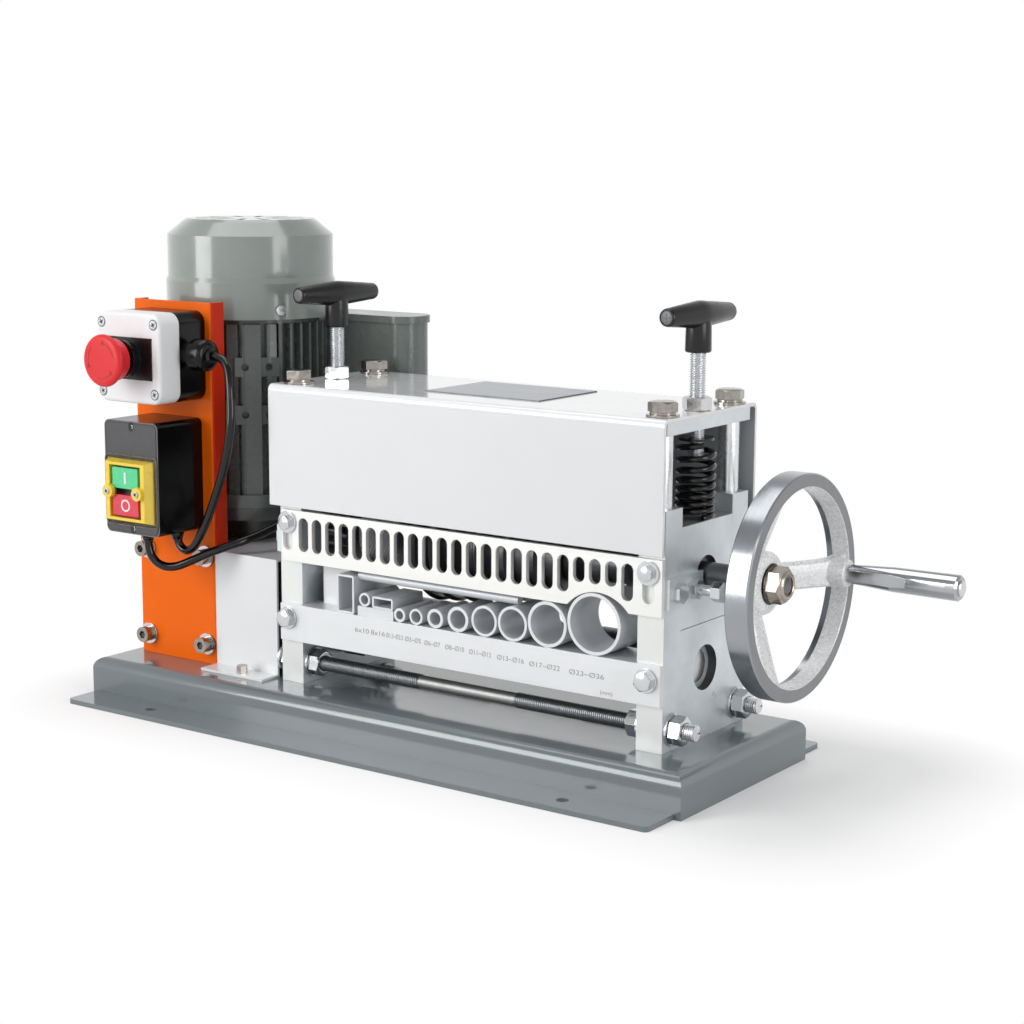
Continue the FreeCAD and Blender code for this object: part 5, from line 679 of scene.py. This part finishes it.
def spring_points(first, last, x):
    """Centre line of the coil about x, from one turn to another."""
    out = []
    steps = 40
    count = len(TURN_HEIGHTS) - 1
    for i in range(int(first * steps), int(last * steps) + 1):
        turn = i / steps
        low = min(int(turn), count - 1)
        share = turn - low
        height = TURN_HEIGHTS[low] * (1 - share) + TURN_HEIGHTS[low + 1] * share
        a = 2 * math.pi * turn - 0.6
        out.append((x + COIL * math.cos(a), SHAFT_Y + COIL * math.sin(a), height))
    return out


def springs():
    """Two halves of each spring, each attached to the body that it moves with."""
    middle, turns = 4, len(TURN_HEIGHTS) - 1
    for side, x in (("left", LEFT), ("right", RIGHT)):
        low = piece(f"{side}_spring_low", tube_form(spring_points(0.0, middle, x), WIRE),
                    "spring", "upper_carriage", "black_spring", (f"{side}_spring",), 60)
        high = piece(f"{side}_spring_high", tube_form(spring_points(middle, turns, x), WIRE),
                     "spring", f"{side}_collar", "black_spring", (f"{side}_spring",), 60)
        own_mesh(low)
        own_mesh(high)


# Leads on their own control points
ESTOP_ROUTE = ((-167.4, -70, 293), (-156.2, -70, 293), (-146.2, -72.95, 285.6),
               (-139.6, -78.15, 270.9), (-136.3, -80.7, 248.7), (-138.2, -81.8, 228.1),
               (-143.2, -81.5, 208.9), (-152.4, -79.8, 189.7), (-162.3, -78.1, 170.5),
               (-172.2, -76.3, 154.3), (-182.2, -74.4, 140.5), (-189.9, -73, 132.8),
               (-198.3, -73, 130.7), (-206, -73, 137), (-206, -73, 145.4))
MOTOR_ROUTE = ((-220.5, -92, 145.4), (-220.5, -92, 136.3), (-218.4, -91.3, 127.2),
               (-210.7, -89.2, 119.5), (-198.1, -85, 118.8), (-184.8, -78.7, 125.1),
               (-172.2, -70.3, 132.1), (-160.3, -56.8, 137.6), (-150.85, -37.8, 143.15),
               (-143.9, -12.2, 151.5), (-137.2, 17.8, 165.4), (-130, 50, 188.4),
               (-127.3, 76.4, 214.2), (-126, 91, 233.8), (-126, 91, 249.9))


def lead(name, route, node):
    """Round lead along its own control points, in place of the solid of a node."""
    curve = bpy.data.curves.new(name, "CURVE")
    curve.dimensions = "3D"
    spline = curve.splines.new("NURBS")
    spline.points.add(len(route) - 1)
    for point, place in zip(spline.points, route):
        point.co = (place[0] * MM, place[1] * MM, place[2] * MM, 1.0)
    spline.order_u = 3
    spline.use_endpoint_u = True
    spline.resolution_u = 10
    curve.bevel_depth = 3.5 * MM
    curve.bevel_resolution = 6
    curve.use_fill_caps = True
    curve.materials.append(M["rubber"])
    obj = bpy.data.objects.new(name, curve)
    scene.collection.objects.link(obj)
    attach(obj, "frame")
    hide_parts(node)


def sleeves():
    """Tapered sleeves where the leads leave their housings."""
    taper = lathe(((3.5, 0), (5.6, 0), (5.6, 1.2), (4.9, 1.6), (4.9, 2.2), (5.1, 2.4), (4.7, 3.6),
                   (4.4, 4.0), (4.6, 4.2), (3.9, 6.0), (3.5, 6.0), (3.5, 0)), 40)
    small = lathe(((3.5, 0), (6.4, 0), (6.4, 0.8), (4.6, 2.6), (3.5, 2.6), (3.5, 0)), 40)
    forms = [placed(taper, spot, "-Z")
             for spot in ((-206, -73, 145.5), (-220.5, -92, 145.5), (-126, 91, 250))]
    forms.append(placed(small, (-167.5, -70, 293), "+X"))
    piece("lead_sleeves", merged(*forms), "rubber", "frame", "lead_rubber")


def spoke():
    """One spoke along the y axis, ridged in front and widened where it meets the rim."""
    hub_reach, rim_reach, hub_face, lean, thick = 23.0, 71.0, 300.0, 27.0, 11.0
    rings = []
    for reach, half in ((17.0, 9.6), (40.0, 9.6), (58.0, 9.8), (65.0, 10.6), (69.0, 12.0),
                        (71.6, 14.5)):
        front = hub_face + (reach - hub_reach) / (rim_reach - hub_reach) * lean
        back = front - thick
        section = ((-half, back), (half, back), (half, front - 2.4), (half - 1.4, front - 1.0),
                   (-half * 0.25, front), (-half + 1.4, front - 1.4), (-half, front - 2.8))
        rings.append([(px, reach, -across) for across, px in section])
    return skin(rings, ends=True)


def handwheel():
    """Cast wheel with a turned rim; the spokes lean out from the hub to the rim's face."""
    axis, body = (0, SHAFT_Y, UPPER_Z), "upper_roller_shaft"
    rim = lathe(((72.3, RIM_BACK), (80.8, RIM_BACK), (82, 311.2), (82, 326.9), (81, RIM_FRONT),
                 (72.6, RIM_FRONT), (72.0, 327.4), (70.8, 315.4), (71.2, 315), (72.3, 315),
                 (72.3, RIM_BACK)), 128)
    hub = lathe(((15, 282), (22.4, 282), (23, 282.6), (23, 298), (21.8, 300.4), (19, 301.8),
                 (15.6, 302.6), (15, 302.6), (15, 282)), 64)
    boss = lathe(((0, 0), (11.6, 0), (10.8, 9), (10.2, 11.6), (9.4, 12.4), (0, 12.4)), 40)
    forms = [placed(rim, axis, "+X"), placed(hub, axis, "+X"),
             placed(boss, (318.2, HANDLE_Y, UPPER_Z), "+X")]
    for degrees in (0, 120, 240):
        turn = Matrix.Rotation(math.radians(degrees), 4, "X")
        forms.append(moved(spoke(), Matrix.Translation(axis) @ turn))
    wheel = piece("wheel_form", merged(*forms), "cast", body, "wheel_cast", ("handwheel",), 28)

    def out(p):
        return math.hypot(p.y - SHAFT_Y, p.z - UPPER_Z)

    # The rim's flat front face takes the darker copy of the turned metal, as painted shade
    shade(wheel, ("turned", lambda p, n: out(p) > 79.5 and abs(n.x) < 0.8 and p.x > RIM_BACK - 1),
          ("wheel_face", lambda p, n: out(p) > 71.3 and n.x > 0.8 and p.x > RIM_FRONT - 0.1),
          ("turned", lambda p, n: 71.9 < out(p) < 80 and n.x < 0.5
           and RIM_BACK - 0.1 < p.x < 315.2))
    nut = merged(lathe(((0, 0), (12.6, 0), (12.6, 1.0), (0, 1.0)), 48),
                 placed(hex_form(24, 11.2, both=True), (0, 0, 1.0), "+Z", 0.18),
                 lathe(((11.2, 11.6), (11.1, 12.4), (10.4, 13.5), (9.2, 14.3), (7.8, 14.4),
                        (7.1, 13.9), (7.0, 11.4), (0, 11.4)), 48))
    piece("wheel_nut", placed(nut, (302.4, SHAFT_Y, UPPER_Z), "+X"), "nickel", body, "bolt_steel",
          ("handwheel_nut_and_spindle",), 24)
    end = merged(lathe(((0, 0), (6.0, 0), (6.0, 1.6), (5.4, 2.3), (4.2, 2.6), (0, 2.7)), 40),
                 lathe(((2.2, 2.6), (2.9, 2.6), (2.9, 2.75), (2.2, 2.75), (2.2, 2.6)), 32))
    piece("wheel_shaft_end", placed(end, (313.2, SHAFT_Y, UPPER_Z), "+X"), "gear", body,
          "shaft_steel")
    start, long = 318, 100
    rod = lathe(((0, 0), (5.9, 0), (5.9, long), (0, long)), 32)
    tip = lathe(((0, 0), (5.9, 0), (5.9, 0.9), (5.1, 1.6), (0, 1.6)), 32)
    piece("handle_spindle", merged(placed(rod, (start, HANDLE_Y, UPPER_Z), "+X"),
                                   placed(tip, (start + long, HANDLE_Y, UPPER_Z), "+X")),
          "bolt", body, "bolt_steel")


def mushroom():
    """Round head of the stop, its face a hair behind the box of the solids."""
    profile = ((0, 0), (15.4, 0), (16.3, 0.5), (16.8, 1.4), (17.5, 6.0), (18.9, 9.6), (20.4, 11.8),
               (21, 13.2), (20.9, 14.4), (20.2, 15.6), (19.0, 16.4), (17.4, 16.8), (16.6, 16.85),
               (0, 16.85))
    piece("mushroom_form", placed(lathe(profile, 96), (STOP_X, -115.0, STOP_Z), "-Y"), "red",
          "stop_head", "red_plastic", ("estop_button",), 40)


def gland():
    """Ribbed neck and smooth rounded cap nut on the side of the stop's case."""
    neck = [(0, 0), (9.4, 0), (9.4, 1.0)]
    for i in range(4):
        start = 1.2 + 1.9 * i
        neck += [(8.5, start), (8.5, start + 0.5), (9.0, start + 0.8), (9.0, start + 1.6)]
    dome = [(8.6, 9.0), (12.4, 9.0), (13.0, 9.6), (13.0, 19.6)]
    dome += [(8.2 + 4.8 * math.cos(a), 19.9 + 4.8 * math.sin(a))
             for a in (0.3, 0.6, 0.9, 1.2, 1.45)]
    dome += [(6.2, 25.0), (0, 25.0)]
    piece("gland_form", placed(lathe(neck + dome, 64), (-192.5, -70, 293), "+X"),
          "gloss", "frame", "black_plastic", ("cable_gland",), 40)


def cross_screw(size):
    """Mark of a cross recess, coloured as painted shade in the recess; height 0 is the face of the
    screw.
    """
    arm, thin, rise = size * 0.28, size * 0.09, 0.12
    return merged(box_form((-arm, -thin, 0), (arm, thin, rise)),
                  box_form((-thin, -arm, 0), (thin, arm, rise)))


def flat_ring(inner, outer, thick, steps):
    return lathe(((inner, 0), (outer, 0), (outer, thick), (inner, thick), (inner, 0)), steps)


def arc_strip(radius, width, first, last, lift, steps=20):
    """Raised strip along an arc between two angles in degrees."""
    rings = []
    for i in range(steps + 1):
        a = math.radians(first + (last - first) * i / steps)
        rings.append([(r * math.cos(a), r * math.sin(a), h)
                      for r, h in ((radius - width / 2, SUNK), (radius - width / 2, lift),
                                   (radius + width / 2, lift), (radius + width / 2, SUNK))])
    return skin(rings, ends=True)


def stop_details():
    """Screws of the stop's cover, and the three turning arrows on its head."""
    marks, rings = [], []
    for dx in (-29, 29):
        for dz in (-28, 28):
            # Grey cross marks as painted shade in the recesses of the white screws
            marks.append(placed(cross_screw(7), (STOP_X + dx, -102.4, STOP_Z + dz), "-Y", 0.5))
            rings.append(placed(flat_ring(3.6, 4.4, 0.1, 32),
                                (STOP_X + dx, -102.0, STOP_Z + dz), "-Y"))
    piece("stop_screw_recess_shade", merged(*marks), "cap", "frame", "bolt_steel")
    piece("stop_screw_rings", merged(*rings), "cap", "frame", "bolt_steel")
    arrows = []
    reach, sweep, lift = 14.2, 72, 0.12
    for first in (15.0, 135.0, 255.0):
        arrows.append(arc_strip(reach, 0.7, first, first + sweep, lift))
        for bend in (-1, 1):
            barb = ((reach - 0.3, 0), (reach + 0.3, 0), (reach + bend * 1.7, 2.6),
                    (reach + bend * 2.3, 2.2))
            form = skin([[(px, py, h) for px, py in barb] for h in (SUNK, lift)], ends=True)
            arrows.append(placed(form, (0, 0, 0), "+Z", math.radians(first)))
    # Arrow marks in the darker red, as painted shade in their grooves
    piece("stop_arrows", placed(merged(*arrows), (STOP_X, -131.86, STOP_Z), "-Y"), "red_groove_shade",
          "stop_head", "red_plastic")


def rounded(wide, high, corner, level, steps=6):
    """Outline of a rounded rectangle about the z axis."""
    ring = []
    for cx, cy, start in ((1, 1, 0), (-1, 1, 90), (-1, -1, 180), (1, -1, 270)):
        for i in range(steps + 1):
            a = math.radians(start + 90 * i / steps)
            ring.append((cx * (wide / 2 - corner) + corner * math.cos(a),
                         cy * (high / 2 - corner) + corner * math.sin(a), level))
    return ring


def round_plate(wide, high, corner, thick):
    """Rounded plate from height 0 to its thickness, with a chamfered face."""
    return skin([rounded(wide - 2 * inset, high - 2 * inset, corner - inset, level)
                 for level, inset in ((0, 0.0), (thick * 0.6, 0.0), (thick, thick * 0.4))],
                ends=True)


def round_frame(wide, high, corner, rim, thick):
    """Rounded rectangular ring about the z axis."""
    outer = (wide, high, corner)
    inner = (wide - 2 * rim, high - 2 * rim, max(corner - rim, 0.3))
    return skin([rounded(*size, level) for size, level in (
        (inner, 0.0), (outer, 0.0), (outer, thick), (inner, thick), (inner, 0.0))])


def switch_details():
    """Face of the switch box with its rim and screws, the boot's rim, and the button signs."""
    def add(name, form, y, z, *paint_and_body):
        piece(name, placed(form, (SWITCH_X, y, z), "-Y"), *paint_and_body)

    plastic = ("frame", "black_plastic")
    add("switch_plate", round_plate(56.4, 89.4, 4.2, 0.5), BOX_FRONT, SWITCH_Z, "plate", *plastic)
    add("switch_rim", round_frame(60, 93, 5, 0.8, 0.25), BOX_FRONT, SWITCH_Z, "cap", *plastic)
    holes, heads = [], []
    for z in (SWITCH_Z + 42, SWITCH_Z - 42):
        spot = (SWITCH_X + 0.5, BOX_FRONT - 0.5, z)
        # Near-black plates stand in for the screw slots, as painted shade
        holes.append(placed(round_plate(5.4, 7.4, 2.6, 0.15), spot, "-Y"))
        heads.append(placed(arc_strip(1.9, 0.7, -50, 60, 0.22), spot, "-Y"))
    piece("switch_hole_shades", merged(*holes), "painted_recess_shade", *plastic)
    piece("switch_screws", merged(*heads), "bolt", "frame", "bolt_steel")
    add("boot_rim", round_frame(58, 58, 4, 3.2, 1.4), BOX_FRONT - 0.45, BUTTONS_Z, "clear",
        *plastic)
    add("boot_edge", round_frame(58.4, 58.4, 4.2, 0.7, 1.0), BOX_FRONT - 0.5, BUTTONS_Z,
        "boot_edge", *plastic)
    face = BEZEL_FRONT + 0.4
    bar = box_form((-1.0, -4.8, 0), (1.0, 4.8, 0.25), 0.05)
    add("on_bar", bar, face, 192.7, "mark", "green_push", "green_plastic")
    add("off_ring", flat_ring(3.7, 5.0, 0.25, 40), face, 170.3, "mark", "red_push", "red_plastic")
    # Cross recesses of the lug screws in near black, as painted shade
    marks = [placed(cross_screw(5), (SWITCH_X + dx, -114.6, BUTTONS_Z), "-Y", 0.4)
             for dx in (-16.4, 16.4)]
    piece("lug_screw_recess_shade", merged(*marks), "painted_recess_shade", "frame", "bolt_steel")


# Plain numbers and signs
def words(name, text, size, origin, wide):
    """Raised text on the front of the lower guide, drawn to a width in millimetres."""
    curve = bpy.data.curves.new(name, "FONT")
    curve.body = text
    curve.size = size * MM
    curve.extrude = 0.04 * MM
    curve.align_x = "CENTER"
    curve.align_y = "CENTER"
    curve.materials.append(M["ink"])
    obj = bpy.data.objects.new(name, curve)
    scene.collection.objects.link(obj)
    bpy.context.view_layer.update()
    obj.scale = (wide / (obj.dimensions.x / MM), 1, 1)
    obj.rotation_euler = (math.pi / 2, 0, 0)
    obj.location = tuple(c * MM for c in origin)
    bpy.context.view_layer.update()
    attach(obj, "frame")


def channel_sizes():
    face = GUIDE_FRONT - 0.03
    marks = (("6x10", -29.6, -15.6, 85.4), ("8x16", -13.4, 0.4, 85.4),
             ("Ø1.5~Ø2.5", 1.8, 18.2, 85.2), ("Ø3~Ø5", 20.4, 35.8, 85.0),
             ("Ø6~Ø7", 39.0, 54.2, 84.6), ("Ø8~Ø10", 59.0, 77.0, 84.2),
             ("Ø11~Ø12", 81.8, 102.2, 83.8), ("Ø13~Ø16", 107.8, 132.2, 83.4),
             ("Ø17~Ø22", 137.0, 164.4, 82.8), ("Ø23~Ø36", 172.6, 202.8, 82.2))
    for i, (text, first, last, z) in enumerate(marks, 1):
        words(f"channel_size_{i}", text, 5.4, ((first + last) / 2, face, z), last - first)
    words("unit_mark", "(mm)", 4.2, (205.0, face, 71.0), 10.5)


# Studio: a pale floor that fades to white and a bright horizon
def seen_rays(tree):
    """1 for rays that only look at a surface, 0 for the rays that carry its light on."""
    path = tree.nodes.new("ShaderNodeLightPath")
    total = path.outputs["Is Camera Ray"]
    for kind in ("Is Glossy Ray", "Is Transmission Ray"):
        node = tree.nodes.new("ShaderNodeMath")
        node.operation = "ADD"
        node.use_clamp = True
        tree.links.new(total, node.inputs[0])
        tree.links.new(path.outputs[kind], node.inputs[1])
        total = node.outputs[0]
    return total


def mixed_shader(tree, factor, first, second):
    node = tree.nodes.new("ShaderNodeMixShader")
    tree.links.new(factor, node.inputs[0])
    tree.links.new(first, node.inputs[1])
    tree.links.new(second, node.inputs[2])
    return node.outputs[0]


def added_shader(tree, first, second):
    node = tree.nodes.new("ShaderNodeAddShader")
    tree.links.new(first, node.inputs[0])
    tree.links.new(second, node.inputs[1])
    return node.outputs[0]


def glow(tree, strength):
    node = tree.nodes.new("ShaderNodeEmission")
    node.inputs["Color"].default_value = (1, 1, 1, 1)
    node.inputs["Strength"].default_value = strength
    return node.outputs[0]


def matt(tree, level):
    node = tree.nodes.new("ShaderNodeBsdfDiffuse")
    node.inputs["Color"].default_value = (level, level, level, 1)
    return node.outputs[0]


def add_floor():
    """Floor that goes from pale round the machine's footprint to white farther out."""
    mesh = bpy.data.meshes.new("floor")
    mesh.from_pydata([(-9, -9, 0), (9, -9, 0), (9, 9, 0), (-9, 9, 0)], [], [(0, 1, 2, 3)])
    mat = bpy.data.materials.new("floor_pale")
    mat.use_nodes = True
    tree = mat.node_tree
    tree.nodes.clear()
    out = tree.nodes.new("ShaderNodeOutputMaterial")
    step = tree.nodes.new("ShaderNodeNewGeometry").outputs["Position"]
    for kind, value in (("SUBTRACT", FOOT_MIDDLE), ("ABSOLUTE", None), ("SUBTRACT", FOOT_HALF),
                        ("MAXIMUM", (0.0, 0.0, 0.0)), ("LENGTH", None)):
        node = tree.nodes.new("ShaderNodeVectorMath")
        node.operation = kind
        tree.links.new(step, node.inputs[0])
        if value:
            node.inputs[1].default_value = value
        step = node.outputs["Value" if kind == "LENGTH" else "Vector"]
    far = new_range(tree, step, 0.0, 1.0, *FADE)
    near = added_shader(tree, matt(tree, FLOOR_MATT), glow(tree, FLOOR_GLOW))
    look = mixed_shader(tree, far, near, glow(tree, 1.0))
    tree.links.new(mixed_shader(tree, seen_rays(tree), matt(tree, FLOOR_LIGHT), look),
                   out.inputs["Surface"])
    mesh.materials.append(mat)
    floor = bpy.data.objects.new("floor", mesh)
    scene.collection.objects.link(floor)


def sky_level(tree, height, stops):
    ramp = tree.nodes.new("ShaderNodeValToRGB")
    row = ramp.color_ramp
    for index, (place, level) in enumerate(stops):
        element = row.elements[index] if index < 2 else row.elements.new(place)
        element.position = place
        element.color = (level, level, level, 1)
    tree.links.new(height, ramp.inputs["Fac"])
    return ramp.outputs["Color"]


def sky(tree, colour, strength=1.0):
    node = tree.nodes.new("ShaderNodeBackground")
    node.inputs["Strength"].default_value = strength
    tree.links.new(colour, node.inputs["Color"])
    return node.outputs[0]


def add_world():
    world = bpy.data.worlds.new("studio")
    scene.world = world
    world.use_nodes = True
    tree = world.node_tree
    tree.nodes.clear()
    out = tree.nodes.new("ShaderNodeOutputWorld")
    coords = tree.nodes.new("ShaderNodeTexCoord")
    parts = tree.nodes.new("ShaderNodeSeparateXYZ")
    tree.links.new(coords.outputs["Generated"], parts.inputs["Vector"])
    height = parts.outputs["Z"]
    look = sky(tree, sky_level(tree, height, ((0.0, 1.0), (1.0, 0.35), (0.32, 1.0), (0.6, 0.62))))
    soft = sky(tree, sky_level(tree, height, ((0.0, 0.7), (1.0, 1.0))), SKY_LIGHT)
    tree.links.new(mixed_shader(tree, seen_rays(tree), soft, look), out.inputs["Surface"])


def add_light(name, place, target, power, wide, high):
    data = bpy.data.lights.new(name, "AREA")
    data.shape = "RECTANGLE"
    data.size = wide
    data.size_y = high
    data.energy = power
    light = bpy.data.objects.new(name, data)
    light.location = place
    aim = Vector(target) - Vector(place)
    light.rotation_euler = aim.to_track_quat("-Z", "Y").to_euler()
    scene.collection.objects.link(light)


def add_camera():
    data = bpy.data.cameras.new("camera")
    data.sensor_width = SENSOR
    data.lens = FOCAL / PICTURE * SENSOR
    data.clip_start = 0.05
    camera = bpy.data.objects.new("camera", data)
    yaw, pitch, roll = (math.radians(a) for a in CAMERA_TURNS)
    ahead = Vector((-math.sin(yaw) * math.cos(pitch), math.cos(yaw) * math.cos(pitch),
                    -math.sin(pitch)))
    right = Vector((math.cos(yaw), math.sin(yaw), 0.0))
    up = right.cross(ahead)
    across = right * math.cos(roll) + up * math.sin(roll)
    above = up * math.cos(roll) - right * math.sin(roll)
    turn = Matrix((across, above, -ahead)).transposed().to_4x4()
    camera.matrix_world = Matrix.Translation(Vector(CAMERA_PLACE)) @ turn
    scene.collection.objects.link(camera)
    scene.camera = camera


def add_studio():
    add_world()
    add_floor()
    add_camera()
    for lamp in LAMPS:
        add_light(*lamp)


paint_solids()
cover_fasteners()
guide_fasteners()
tie_rod_set()
press_screws()
springs()
lead("estop_lead_curve", ESTOP_ROUTE, "estop_lead")
lead("motor_lead_curve", MOTOR_ROUTE, "motor_lead")
sleeves()
t_handles()
handwheel()
mushroom()
gland()
stop_details()
switch_details()
channel_sizes()
add_studio()
scene.view_settings.view_transform = "Standard"
